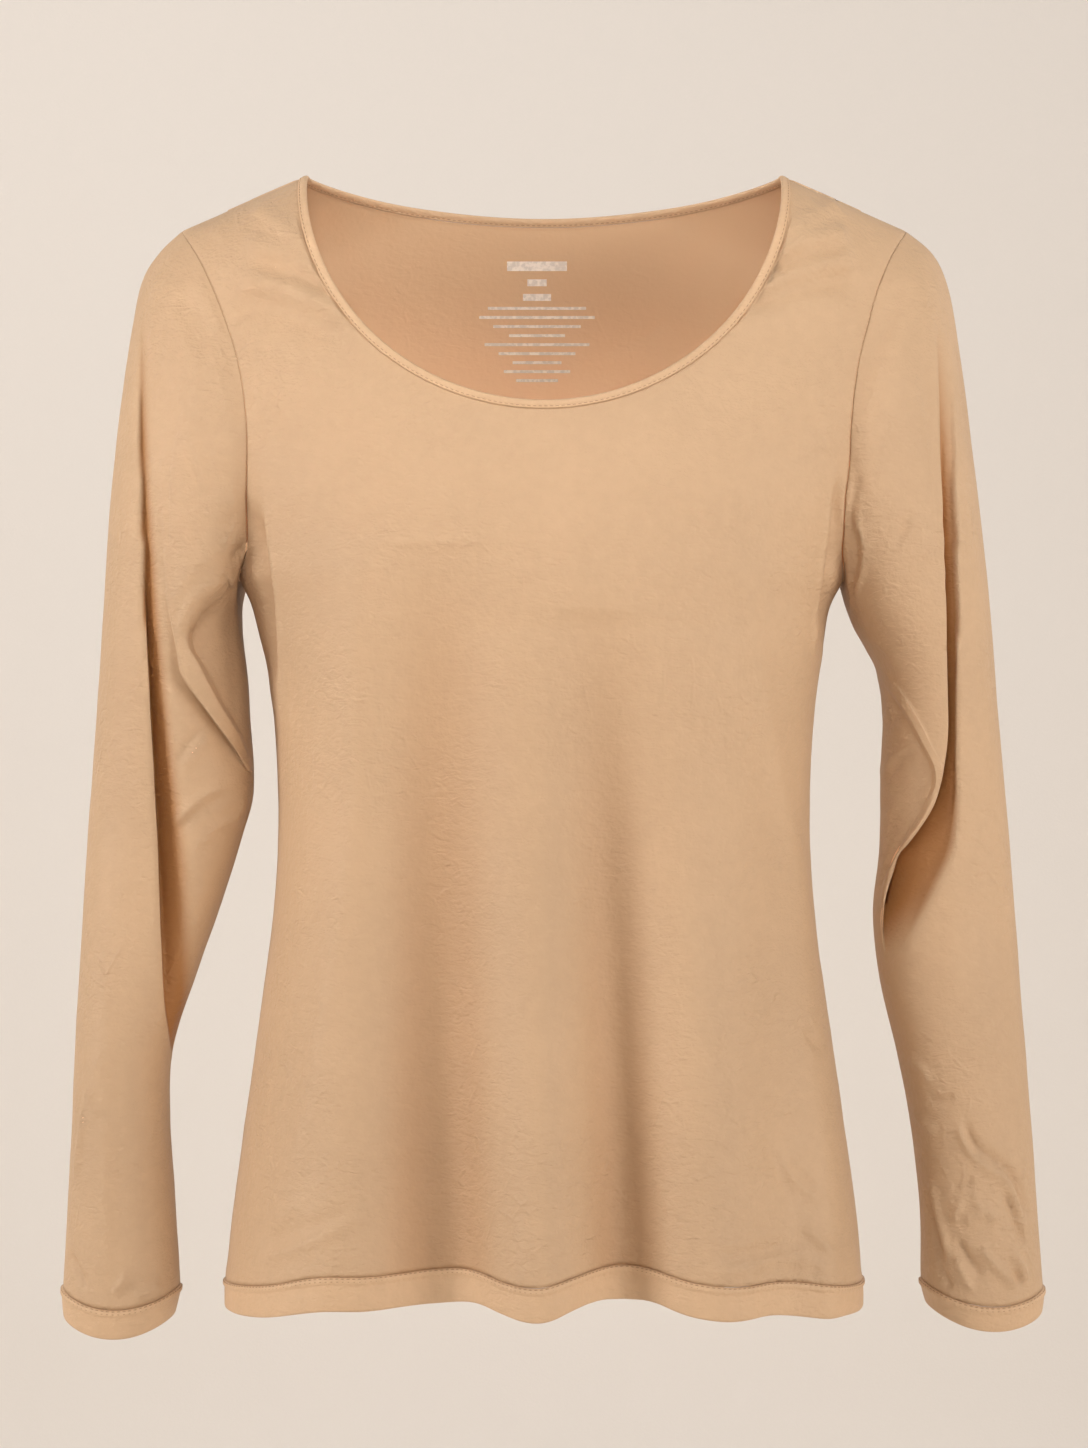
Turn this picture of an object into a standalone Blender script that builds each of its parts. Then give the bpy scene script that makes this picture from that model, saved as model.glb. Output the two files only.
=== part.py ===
"""Long-sleeved thermal base layer top, filled out as it is when worn.

The frame has its origin between the two shoulder-neck points, +X to the viewer's
right, the front facing -Y and +Z up. Tables are in millimetres, with widths measured
out from the centre plane and heights up from the origin.
"""

import bmesh
import bpy
import numpy as np

MM = 0.001
TINY = 1e-9

# Driving sizes, in millimetres
WALL = 1.2
SEAM_GAP = 0.3
ROUND_POWER = 2.3
NECK_HALF_WIDTH = 134.0
NECK_TOP = 0.0
FRONT_NECK_DROP = 133.6
BACK_NECK_LEVEL = -18.0
BACK_NECK_POWER = 1.9
TIP_HALF_WIDTH = 199.0
TIP_HEIGHT = -28.2
SHOULDER_ROUND = 45.0
HEM_LEVEL = -600.0
BINDING_WIDTH = 5.2
BINDING_THICKNESS = 2.6
BINDING_RISE = 0.9
BAND_THICKNESS = 2.2
BAND_RISE = 0.5
RIDGE_RISE = 0.8
RIDGE_WIDTH = 4.0
BAND_EDGE_ROUND = 0.5
HEM_BAND_HEIGHT = 16.0
HEM_SIDE_LIFT = 0.2
LEFT_CUFF_HEIGHT = 16.5
RIGHT_CUFF_HEIGHT = 14.0
CUFF_DRAW_IN = 2.0
CUFF_LEAN = 0.08
CUFF_FRONT_DIP = 9.0
CUFF_BACK_DIP = 3.0
TUCK_RUN = 6.0
FOLD_GROWTH = 1.2
FOLD_FADE = 1.6
BINDING_SQUARENESS = 0.6

# Mesh density
PANEL_COLUMNS = 32
ARMHOLE_ROWS = 12
BODY_ROWS = 10
SLEEVE_BACK_COLUMNS = 12
BINDING_CORNERS = 8
RINGS_PER_STATION = 2
ROW_SPREAD = 1.25
FRONT_SPANS = (3, 2, 2, 3, 2)

# How a panel's columns run: the neck takes this share of each half, and below it the
# columns flare out before they fall, so that they never crowd beside the neckline
NECK_SHARE = 0.6875
NECK_FLARE = 10.0
FLARE_POWER = np.log(0.5) / np.log(NECK_SHARE)
EVEN_TURN = 1.3

# How many sleeve stations each change takes, counted from the armhole
FOLDS_SETTLE = 5.0
SEAM_SETTLES = 6.0
DIP_STARTS = 13.0

# The body's girth: half width and depths of the full form at each height
BODY = (
    # height, left, right, front, back
    (10, 213, 213, 44, 50),
    (-40, 211, 211, 62, 67),
    (-84, 208, 208, 77, 82),
    (-120, 204, 204, 89, 91),
    (-161, 190, 190, 100, 95),
    (-179, 181, 181, 104, 95),
    (-194, 174, 174, 106, 94),
    (-207, 170, 168, 107, 93),
    (-220, 167, 164, 107.5, 91),
    (-231, 161.5, 158.5, 107.2, 89),
    (-253, 155.5, 154, 105.2, 85),
    (-286, 149.5, 149, 100.5, 79),
    (-341, 145.8, 145.8, 93.5, 71),
    (-396, 147.8, 147.6, 90, 70),
    (-451, 154.8, 154.8, 90, 75),
    (-506, 162.4, 162.8, 92, 82),
    (-561, 170, 170.6, 94, 87),
    (-625, 177, 177, 96, 89),
)

# The armhole seam's distance from the centre plane on each side
ARMHOLE = (
    # height, left, right
    (-28.2, 199, 199),
    (-46, 187.4, 188),
    (-64, 178.4, 180),
    (-84, 170.3, 174),
    (-101, 164.6, 169.4),
    (-120, 160.6, 165.9),
    (-142, 158.4, 163.7),
    (-161, 158.3, 163),
    (-179, 159.2, 161),
    (-194, 159.2, 161),
    (-207, 160.5, 161),
    (-220, 167, 164),
)
ARMPIT_HEIGHT = -220.0
ARMPIT_TURN = -170.0

# Soft vertical folds that open towards the hem; a rise above 0 stands out
FRONT_FOLDS = (
    # name, hem x, top x, top height, half width, rise
    ("left crest", -106, -100, -240, 40, 9),
    ("left trough", -56, -60, -200, 36, -14),
    ("middle crest", -2, -14, -290, 38, 8),
    ("middle trough", 43, 12, -210, 36, -14),
    ("right crest", 104, 74, -250, 44, 9),
    ("right side trough", 142, 128, -300, 20, -5),
)
BACK_FOLDS = (
    ("left crest", -92, -70, -300, 38, 9),
    ("left trough", -36, -30, -260, 34, -11),
    ("middle crest", 14, 6, -320, 36, 8),
    ("right trough", 66, 52, -270, 36, -12),
    ("right crest", 116, 98, -330, 32, 7),
)

# The seam line above the hem band, all round
HEM_SEAM = (
    # x, front height, back height
    (-176, -606, -606),
    (-150, -602.5, -604),
    (-120, -596, -603),
    (-93, -593.2, -603),
    (-74, -590, -604),
    (-60, -587.3, -606),
    (-38, -587.8, -607),
    (-17, -592.3, -605),
    (-2, -593, -603),
    (16, -588.5, -603),
    (37, -585.6, -605),
    (54, -586.2, -607),
    (76, -591, -606),
    (100, -593.2, -603),
    (124, -595, -602),
    (150, -600, -604),
    (176, -606, -606),
)

# Sleeve sections from the armhole to the cuff: the outer and the inner point seen from
# the front, how far the section bows towards the body, and its depths
LEFT_SLEEVE = (
    # outer x, outer height, inner x, inner height, bow, front, back
    (199, -28.2, 167, -220, 20, 60, 62),
    (211.2, -40, 167.8, -223.5, 18, 62, 63),
    (220.6, -55.4, 168, -228, 15, 62, 64),
    (225.5, -79.6, 167.8, -233, 12, 61, 63),
    (230.5, -112.6, 167.4, -238.5, 8, 59, 61),
    (235.4, -153.8, 166.6, -245.5, 5, 56, 58),
    (239.3, -200.6, 165.5, -255, 2, 52, 54),
    (242.6, -252.8, 163.5, -272, 0, 47, 50),
    (245.3, -291.3, 161.7, -297, 0, 42, 46),
    (248.6, -335, 159.8, -335, 0, 38, 42),
    (250.5, -360, 165.8, -360, 0, 36, 38),
    (253, -401.3, 178.8, -401.3, 0, 36, 34),
    (255.2, -437, 191.4, -437, 0, 37, 32),
    (257.4, -478.3, 204.5, -478.3, 0, 38, 31),
    (259, -516.8, 205.7, -516.8, 0, 37, 30),
    (261.3, -560.8, 203, -560.8, 0, 35, 29),
    (264, -607, 200.2, -607, 0, 33, 28),
)
RIGHT_SLEEVE = (
    (199, -28.2, 164, -220, 18, 60, 62),
    (212.9, -40, 164.4, -223.5, 16, 62, 63),
    (220.6, -54.8, 165, -228, 14, 62, 64),
    (225.5, -77.9, 166.2, -233.5, 11, 61, 63),
    (230.5, -112.6, 168.2, -239.5, 8, 59, 61),
    (235.4, -153.8, 171.5, -247.5, 5, 56, 58),
    (240.9, -200.6, 177.4, -258, 2, 52, 54),
    (245.9, -252.8, 184, -272, 0, 47, 50),
    (248.9, -291.3, 186.5, -297, 0, 42, 46),
    (252.5, -329.8, 185.4, -329.8, 0, 38, 42),
    (255.8, -368.3, 184.6, -368.3, 0, 36, 38),
    (258.5, -402.4, 181, -402.4, 0, 36, 34),
    (261.3, -439.8, 184.8, -439.8, 0, 37, 32),
    (264.3, -478.3, 193.9, -478.3, 0, 38, 31),
    (267.3, -516.8, 201.3, -516.8, 0, 37, 30),
    (270.6, -563.6, 206.8, -563.6, 0, 35, 29),
    (273.9, -607, 207.4, -607, 0, 33, 28),
)

# The long pleat down each sleeve's front, as distances from the centre plane
LEFT_PLEAT = (
    # height, outer edge, bottom, inner edge, depth
    (-70, 219.3, 215.5, 211, 0),
    (-124, 218.8, 214.6, 209.8, 5),
    (-167, 217.7, 213.2, 208.0, 9),
    (-220, 215.5, 210.8, 205.4, 12),
    (-286, 213.4, 208.4, 202.4, 13),
    (-329, 211.2, 206.2, 200.0, 13),
    (-372, 209.1, 203.8, 197.4, 13),
    (-415, 207.4, 201.8, 195.7, 10),
    (-453, 211, 204, 198, 4),
    (-482, 217, 210, 204, 0),
    (-607, 224, 216, 208, 0),
)
RIGHT_PLEAT = (
    (-70, 219, 214.4, 210.2, 0),
    (-124, 220, 216, 211.8, 5),
    (-167, 220.8, 216.6, 212.4, 9),
    (-220, 222.4, 218, 213.6, 12),
    (-286, 224.6, 219.8, 214.8, 13),
    (-318, 225, 219.5, 214, 12),
    (-347, 222, 213.6, 206.6, 12),
    (-372, 217.6, 203.4, 194.6, 14),
    (-394, 210.1, 195.4, 186.6, 12),
    (-412, 208, 196, 187.5, 8),
    (-434, 213, 202, 191, 2),
    (-460, 221, 212, 203, 0),
    (-607, 237, 228, 219, 0),
)

# Where the sleeve's front folds back under the arm and shows its far half
LEFT_TUCK = (
    # height, edge, depth
    (-221, 166.5, 0),
    (-229, 174, 12),
    (-237, 183.5, 20),
    (-246, 189, 24),
    (-256, 190.5, 24),
    (-270, 184, 23),
    (-286, 176.3, 19),
    (-307, 165, 10),
    (-326, 160, 0),
    (-607, 206, 0),
)
RIGHT_TUCK = (
    (-221, 166, 0),
    (-268, 182, 0),
    (-286, 191.9, 9),
    (-307, 202.2, 11),
    (-322, 207.2, 11),
    (-331, 206.8, 11),
    (-344, 200.4, 10),
    (-364, 190.5, 7),
    (-386, 185.5, 0),
    (-607, 212, 0),
)

CLOTH_COLOUR = (0.60, 0.39, 0.22)
TRIM_COLOUR = (0.57, 0.37, 0.21)

FRONT, BACK = -1, 1
LEFT, RIGHT = -1, 1


class Column:
    """A smooth curve through one column of a table, read at any height or position."""

    def __init__(self, keys, values):
        order = np.argsort(keys)
        self.keys = np.asarray(keys, float)[order]
        self.values = np.asarray(values, float)[order]
        steps = np.diff(self.keys)
        rises = np.diff(self.values) / steps
        self.slopes = np.empty_like(self.values)
        self.slopes[0] = rises[0]
        self.slopes[-1] = rises[-1]
        weights = steps[1:] + steps[:-1]
        self.slopes[1:-1] = (rises[:-1] * steps[1:] + rises[1:] * steps[:-1]) / weights

    def __call__(self, at):
        at = np.clip(at, self.keys[0], self.keys[-1])
        low = np.clip(np.searchsorted(self.keys, at) - 1, 0, len(self.keys) - 2)
        step = self.keys[low + 1] - self.keys[low]
        part = (at - self.keys[low]) / step
        back = 1 - part
        return (
            self.values[low] * back**2 * (1 + 2 * part)
            + self.values[low + 1] * part**2 * (3 - 2 * part)
            + self.slopes[low] * step * part * back**2
            - self.slopes[low + 1] * step * part**2 * back
        )


def columns(table):
    """One Column for each column after the first, which holds the keys."""
    rows = list(zip(*table))
    return [Column(rows[0], values) for values in rows[1:]]


BODY_LEFT, BODY_RIGHT, BODY_FRONT, BODY_BACK = columns(BODY)
ARMHOLE_LEFT, ARMHOLE_RIGHT = columns(ARMHOLE)
HEM_FRONT, HEM_BACK = columns(HEM_SEAM)


def smoothstep(part):
    part = np.clip(part, 0, 1)
    return part * part * (3 - 2 * part)


def unit(vectors):
    return vectors / np.linalg.norm(vectors, axis=-1, keepdims=True)


def shoulder_height(x):
    """The ridge over the shoulders, which goes on rising towards the neck."""
    slope = (TIP_HEIGHT - NECK_TOP) / (TIP_HALF_WIDTH - NECK_HALF_WIDTH)
    return NECK_TOP + slope * (np.abs(x) - NECK_HALF_WIDTH)


def form_half_width(x, z):
    return np.where(x < 0, BODY_LEFT(z), BODY_RIGHT(z))


def panel_half_width(side, z):
    """Half the body's width at its seams: the armhole above, the side seam below."""
    armhole, body = (ARMHOLE_LEFT, BODY_LEFT) if side < 0 else (ARMHOLE_RIGHT, BODY_RIGHT)
    return np.where(z > ARMPIT_HEIGHT, armhole(z), body(z))


def fold_depth(folds, x, z):
    total = np.zeros_like(x)
    for _, hem_x, top_x, top_height, half_width, rise in folds:
        fall = np.maximum((top_height - z) / (top_height - HEM_LEVEL), 0)
        centre = top_x + (hem_x - top_x) * fall
        total += rise * fall**FOLD_GROWTH * np.exp(-(((x - centre) / half_width) ** 2))
    return total


def body_depth(face, x, z):
    """How far the cloth stands from the plane through both side seams."""
    depth = BODY_FRONT(z) if face == FRONT else BODY_BACK(z)
    folds = FRONT_FOLDS if face == FRONT else BACK_FOLDS
    depth = depth + fold_depth(folds, x, z)
    share = np.clip(np.abs(x) / form_half_width(x, z), 0, 1)
    round_off = (1 - share**ROUND_POWER) ** (1 / ROUND_POWER)
    below = np.clip((shoulder_height(x) - z) / SHOULDER_ROUND, 0, 1)
    return depth * round_off * np.sqrt(1 - (1 - below) ** 2)


def body_points(face, x, z):
    return np.stack([x, face * (SEAM_GAP / 2 + body_depth(face, x, z)), z], axis=-1)


def body_normals(face, x, z):
    """Outward directions of the body's cloth."""
    reach = 0.4
    x = np.sign(x) * np.minimum(np.abs(x), form_half_width(x, z) - 2 * reach)
    z = np.minimum(z, shoulder_height(x) - 2 * reach)
    across = (body_depth(face, x + reach, z) - body_depth(face, x - reach, z)) / (2 * reach)
    up = (body_depth(face, x, z + reach) - body_depth(face, x, z - reach)) / (2 * reach)
    return unit(np.stack([-across, np.full_like(across, face), -up], axis=-1))


def panel_top(face, share):
    """A panel's upper edge: the neckline between the shoulder seams."""
    out = np.abs(share)
    turn = np.clip(out / NECK_SHARE, 0, 1) * np.pi / 2
    if face == FRONT:
        drop = np.cos(turn) ** 2
        neck_x = NECK_HALF_WIDTH * np.sqrt(1 - drop**2)
        neck_z = NECK_TOP - FRONT_NECK_DROP * drop
    else:
        neck_x = NECK_HALF_WIDTH * np.sin(turn)
        rise = NECK_TOP - BACK_NECK_LEVEL
        neck_z = BACK_NECK_LEVEL + rise * np.sin(turn) ** BACK_NECK_POWER
    along = np.clip((out - NECK_SHARE) / (1 - NECK_SHARE), 0, 1)
    shoulder_x = NECK_HALF_WIDTH + (TIP_HALF_WIDTH - NECK_HALF_WIDTH) * along
    on_neck = out <= NECK_SHARE
    x = np.where(on_neck, neck_x, shoulder_x)
    z = np.where(on_neck, neck_z, shoulder_height(shoulder_x))
    return np.sign(share) * x, z


def panel_shares():
    return np.linspace(-1, 1, PANEL_COLUMNS + 1)


def armhole_heights():
    """Row heights down the armhole, close together at the shoulder and the armpit."""
    part = (1 - np.cos(np.linspace(0, np.pi, ARMHOLE_ROWS + 1))) / 2
    return TIP_HEIGHT + (ARMPIT_HEIGHT - TIP_HEIGHT) * part


def panel_grid(face):
    """The x and z of a panel's points, a row for each level and a column for each share."""
    shares = panel_shares()
    on_left = shares < 0
    top_x, top_z = panel_top(face, shares)
    round_x = np.sin(shares * np.pi / 2)
    heights = armhole_heights()
    part = ((heights - TIP_HEIGHT) / (ARMPIT_HEIGHT - TIP_HEIGHT))[:, None]
    spread = np.sin(part * np.pi / 2)
    flat_x = np.sin(shares * EVEN_TURN) / np.sin(EVEN_TURN)
    level_x = flat_x + (round_x - flat_x) * part**3
    armpit = np.where(on_left, *(panel_half_width(s, ARMPIT_HEIGHT) for s in (LEFT, RIGHT)))
    armhole = np.where(on_left, *(panel_half_width(s, heights)[:, None] for s in (LEFT, RIGHT)))
    upper_x = top_x + (level_x * armpit - top_x) * spread
    edge_x = TIP_HALF_WIDTH + (armpit - TIP_HALF_WIDTH) * spread
    upper_x = upper_x + (armhole - edge_x) * np.sign(shares) * shares**2
    near_neck = np.sin(np.pi * np.abs(shares) ** FLARE_POWER) ** 2
    upper_x = upper_x + NECK_FLARE * np.sign(shares) * near_neck * np.sin(np.pi * part**0.5)
    upper_z = top_z + (ARMPIT_HEIGHT - top_z) * part
    hem = (HEM_FRONT if face == FRONT else HEM_BACK)(round_x * BODY_LEFT(HEM_LEVEL))
    part = (np.arange(1, BODY_ROWS + 1)[:, None] / BODY_ROWS) ** ROW_SPREAD
    lower_z = ARMPIT_HEIGHT + (hem - ARMPIT_HEIGHT) * part
    lower_x = round_x * np.where(on_left, BODY_LEFT(lower_z), BODY_RIGHT(lower_z))
    return np.concatenate([upper_x, lower_x]), np.concatenate([upper_z, lower_z])


def near_armpit():
    """How close each armhole row is to the armpit, where the sleeve turns back down."""
    heights = armhole_heights()
    return smoothstep((ARMPIT_TURN - heights) / (ARMPIT_TURN - ARMPIT_HEIGHT))[:, None]


def seam_frame(face, side):
    """Points, outward normals and sleeve-ward directions down one armhole."""
    z = armhole_heights()
    x = side * panel_half_width(side, z)
    points = body_points(face, x, z)
    points[[0, -1], 1] = 0.0
    normals = body_normals(face, x, z)
    normals[[0, -1], 1] = 0.0
    normals = unit(normals)
    down = unit(np.gradient(points, axis=0))
    down[0] = (0.0, face, 0.0)
    down[-1] = (0.0, -face, 0.0)
    away = unit(np.cross(down, normals) * face * side)
    return points, normals, unit(away + ((side, 0, 0) - away) * near_armpit())


def make_object(name, points, faces, colour):
    """An object from points in millimetres, with its faces turned outwards."""
    mesh = bpy.data.meshes.new(name)
    mesh.from_pydata((np.asarray(points) * MM).tolist(), [], faces)
    work = bmesh.new()
    work.from_mesh(mesh)
    bmesh.ops.recalc_face_normals(work, faces=work.faces)
    work.to_mesh(mesh)
    work.free()
    mesh.shade_smooth()
    mesh.set_sharp_from_angle(angle=np.radians(50))
    material = bpy.data.materials.new(name + "_cloth")
    material.use_nodes = True
    shader = material.node_tree.nodes["Principled BSDF"]
    shader.inputs["Base Color"].default_value = (*colour, 1.0)
    shader.inputs["Roughness"].default_value = 0.8
    shader.inputs["Metallic"].default_value = 0.0
    mesh.materials.append(material)
    thing = bpy.data.objects.new(name, mesh)
    bpy.context.scene.collection.objects.link(thing)
    return thing


def make_walled_sheet(name, outer, normals, colour, closed=False):
    """A wall of cloth on a grid of outer points; closed joins the last column to the first."""
    rows, width = outer.shape[:2]
    inner = outer - normals * WALL
    points = np.concatenate([outer.reshape(-1, 3), inner.reshape(-1, 3)])
    shift = rows * width
    spans = width if closed else width - 1
    faces = []
    for row in range(rows - 1):
        for column in range(spans):
            near = row * width + column
            side = row * width + (column + 1) % width
            faces.append((near, side, side + width, near + width))
            faces.append((near + shift, near + width + shift, side + width + shift, side + shift))
    for column in range(spans):
        after = (column + 1) % width
        for row in (0, rows - 1):
            a, b = row * width + column, row * width + after
            faces.append((a, b, b + shift, a + shift))
    if not closed:
        for row in range(rows - 1):
            for column in (0, width - 1):
                a, b = row * width + column, (row + 1) * width + column
                faces.append((a, b, b + shift, a + shift))
    return make_object(name, points, faces, colour)


def make_band(name, edge, normals, along, profile, colour):
    """A closed strip swept round a closed edge: profile gives its section."""
    loops = np.array([edge + along * reach + normals * out for reach, out in profile])
    count, length = loops.shape[:2]
    faces = []
    for corner in range(count):
        for step in range(length):
            a = corner * length + step
            b = corner * length + (step + 1) % length
            c = ((corner + 1) % count) * length + (step + 1) % length
            d = ((corner + 1) % count) * length + step
            faces.append((a, b, c, d))
    return make_object(name, loops.reshape(-1, 3), faces, colour)


def make_panel(name, face):
    x, z = panel_grid(face)
    points = body_points(face, x, z)
    normals = body_normals(face, x, z)
    shares = panel_shares()
    on_shoulder = np.abs(shares) >= NECK_SHARE
    for side, column in ((LEFT, 0), (RIGHT, -1)):
        seam, seam_normals, away = seam_frame(face, side)
        points[: ARMHOLE_ROWS + 1, column] = seam - away * SEAM_GAP / 2
        normals[: ARMHOLE_ROWS + 1, column] = seam_normals
        points[ARMHOLE_ROWS:, column, 1] = face * SEAM_GAP / 2
        normals[ARMHOLE_ROWS:, column, 1] = 0.0
    points[0, on_shoulder, 1] = face * SEAM_GAP / 2
    normals[0, on_shoulder, 1] = 0.0
    normals = unit(normals)
    make_walled_sheet(name, points, normals, CLOTH_COLOUR)
    return points, normals


def join_loops(front, back):
    """One closed loop from a front edge and a back edge that share their end points."""
    ends = (front[[0, -1]] + back[[0, -1]]) / 2
    return np.concatenate([ends[:1], front[1:-1], ends[1:], back[-2:0:-1]])


def binding_profile():
    """The binding's section, a rounded strip."""
    turn = np.arange(BINDING_CORNERS) * 2 * np.pi / BINDING_CORNERS + np.pi / BINDING_CORNERS
    waves = (np.cos(turn), np.sin(turn))
    square = [np.sign(wave) * np.abs(wave) ** BINDING_SQUARENESS for wave in waves]
    half_width = (BINDING_WIDTH - SEAM_GAP) / 2
    half_thickness = BINDING_THICKNESS / 2
    along = SEAM_GAP + half_width * (1 - square[0])
    out = BINDING_RISE - half_thickness * (1 - square[1])
    return list(zip(along, out))


def make_neck_binding(panels):
    edges, normals = [], []
    shares = panel_shares()
    on_neck = np.flatnonzero(np.abs(shares) <= NECK_SHARE + TINY)
    for points, directions in panels:
        edges.append(points[0, on_neck])
        normals.append(directions[0, on_neck])
    edge = join_loops(*edges)
    normal = unit(join_loops(*normals))
    tangent = unit(np.roll(edge, -1, axis=0) - np.roll(edge, 1, axis=0))
    across = unit(np.cross(normal, tangent))
    make_band("neck_binding", edge, normal, across, binding_profile(), TRIM_COLOUR)


def band_profile(height, draw_in=0.0):
    """A band's section: a raised seam ridge above plain doubled cloth."""
    low = BAND_RISE - BAND_THICKNESS
    ridge = BAND_RISE + RIDGE_RISE
    edge = height - BAND_EDGE_ROUND
    return [
        (SEAM_GAP, low + BAND_EDGE_ROUND),
        (SEAM_GAP, BAND_RISE),
        (RIDGE_WIDTH * 0.35, ridge),
        (RIDGE_WIDTH * 0.7, ridge),
        (RIDGE_WIDTH, BAND_RISE),
        (edge, BAND_RISE - draw_in),
        (height, (BAND_RISE + low) / 2 - draw_in),
        (edge, low - draw_in),
        (RIDGE_WIDTH, low),
    ]


def make_hem_band(panels):
    edge = join_loops(*(points[-1] for points, _ in panels))
    normal = join_loops(*(normals[-1] for _, normals in panels))
    normal[:, 2] = 0.0
    normal = unit(normal)
    down = np.zeros_like(edge)
    down[:, 2] = HEM_SIDE_LIFT * normal[:, 0] ** 4 - 1
    make_band("hem_band", edge, normal, down, band_profile(HEM_BAND_HEIGHT), TRIM_COLOUR)


def crossing_angles(outer, inner, target):
    """Where each ring's front passes a target distance: angles from 0, outer, to pi."""
    low = np.zeros(len(outer))
    high = np.full(len(outer), np.pi)
    for _ in range(30):
        middle = (low + high) / 2
        part = (1 - np.cos(middle)) / 2
        spot = outer + (inner - outer) * part[:, None]
        before = spot[:, 0] > target(spot[:, 1])
        low = np.where(before, middle, low)
        high = np.where(before, high, middle)
    return low


def sleeve_angles(outer, inner, pleat, tuck, even):
    """The angle of every front column on every ring, with columns along the folds."""
    edges = [crossing_angles(outer, inner, line) for line in (*pleat[:3], tuck[0])]
    gap = 0.05
    knots = [np.zeros(len(outer))]
    for step, edge in enumerate(edges):
        floor = knots[-1] + gap
        ceiling = np.pi - gap * (len(edges) - step)
        knots.append(np.clip(edge, floor, ceiling))
    knots.append(np.full(len(outer), np.pi))
    warped = []
    for start, end, count in zip(knots[:-1], knots[1:], FRONT_SPANS):
        for step in range(count):
            warped.append(start + (end - start) * step / count)
    warped.append(knots[-1])
    warped = np.array(warped).T
    plain = np.linspace(0, np.pi, warped.shape[1])
    return plain + (warped - plain) * even[:, None]


def groove(line, tuck, distance, z):
    """How far the pleat and the tuck push the sleeve's front back."""
    outer_edge, bottom, inner_edge, depth = (column(z) for column in line)
    outer_wall = smoothstep((outer_edge - distance) / (outer_edge - bottom))
    inner_wall = smoothstep((distance - inner_edge) / (bottom - inner_edge))
    edge, tuck_depth = (column(z) for column in tuck)
    step = smoothstep((edge - distance) / TUCK_RUN)
    return np.maximum(depth * outer_wall * inner_wall, np.maximum(tuck_depth, 0) * step)


def sleeve_rings(side, table, pleat_table, tuck_table):
    """A grid of points round a sleeve: a row for each ring, from the armhole down."""
    pleat, tuck = columns(pleat_table), columns(tuck_table)
    stations = np.arange(len(table))
    curves = [Column(stations, values) for values in zip(*table)]
    at = np.linspace(0, len(table) - 1, (len(table) - 1) * RINGS_PER_STATION + 1)
    outer_x, outer_z, inner_x, inner_z, bow, front, back = (curve(at) for curve in curves)
    outer = np.stack([outer_x, outer_z], axis=-1)
    inner = np.stack([inner_x, inner_z], axis=-1)
    settle = smoothstep(at / FOLDS_SETTLE)
    front_angles = sleeve_angles(outer, inner, pleat, tuck, settle)
    back_angles = np.linspace(np.pi, 2 * np.pi, SLEEVE_BACK_COLUMNS + 1)[1:-1]
    angles = np.concatenate(
        [front_angles, np.broadcast_to(back_angles, (len(at), len(back_angles)))], axis=1
    )
    part = (1 - np.cos(angles)) / 2
    spot = outer[:, None] + (inner - outer)[:, None] * part[..., None]
    distance = spot[..., 0] - bow[:, None] * np.sin(angles) ** 2
    z = spot[..., 1]
    round_off = (1 - np.abs(np.cos(angles)) ** ROUND_POWER) ** (1 / ROUND_POWER)
    in_front = np.sin(angles) > TINY
    depth = np.where(in_front, front[:, None], back[:, None])
    y = np.where(in_front, -1, 1) * depth * round_off
    pushed = groove(pleat, tuck, distance, z) * np.clip(round_off * FOLD_FADE, 0, 1)
    y = y + np.where(in_front, pushed * settle[:, None], 0)
    low = smoothstep((at - DIP_STARTS) / (at[-1] - DIP_STARTS))[:, None]
    dip = np.where(in_front, CUFF_FRONT_DIP, CUFF_BACK_DIP)
    z = z - low * dip * np.sin(angles) ** 2
    return np.stack([side * distance, y, z], axis=-1), at


def armhole_loop(side):
    """The whole armhole from the shoulder, down the front and up the back."""
    front = seam_frame(FRONT, side)
    back = seam_frame(BACK, side)
    return [np.concatenate([f, b[-2:0:-1]]) for f, b in zip(front, back)]


def grid_normals(points, side):
    """Outward directions on a grid of rings."""
    around = np.roll(points, -1, axis=1) - np.roll(points, 1, axis=1)
    down = np.gradient(points, axis=0)
    return unit(np.cross(around, down)) * side


def make_sleeve(name, side, table, pleat_table, tuck_table):
    points, at = sleeve_rings(side, table, pleat_table, tuck_table)
    seam, seam_normals, away = armhole_loop(side)
    start = seam + away * SEAM_GAP / 2
    offset = start - points[0]
    points = points + offset[None] * (1 - smoothstep(at / SEAM_SETTLES))[:, None, None]
    normals = grid_normals(points, side)
    turn = near_armpit()
    turn = np.concatenate([turn, turn[-2:0:-1]])
    normals[0] = unit(seam_normals + (normals[0] - seam_normals) * turn)
    make_walled_sheet(name, points, normals, CLOTH_COLOUR, closed=True)
    return points[-1], normals[-1]


def make_cuff(name, side, edge, normals, height):
    flat = normals.copy()
    flat[:, 2] = 0.0
    down = np.broadcast_to((CUFF_LEAN * side, 0.0, -1.0), edge.shape)
    make_band(name, edge, unit(flat), down, band_profile(height, CUFF_DRAW_IN), TRIM_COLOUR)


def clear_scene():
    for thing in list(bpy.data.objects):
        bpy.data.objects.remove(thing)


def main():
    clear_scene()
    panels = [make_panel("front", FRONT), make_panel("back", BACK)]
    make_neck_binding(panels)
    make_hem_band(panels)
    left_edge = make_sleeve("sleeve_left", LEFT, LEFT_SLEEVE, LEFT_PLEAT, LEFT_TUCK)
    right_edge = make_sleeve("sleeve_right", RIGHT, RIGHT_SLEEVE, RIGHT_PLEAT, RIGHT_TUCK)
    make_cuff("cuff_left", LEFT, *left_edge, LEFT_CUFF_HEIGHT)
    make_cuff("cuff_right", RIGHT, *right_edge, RIGHT_CUFF_HEIGHT)


main()
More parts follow.
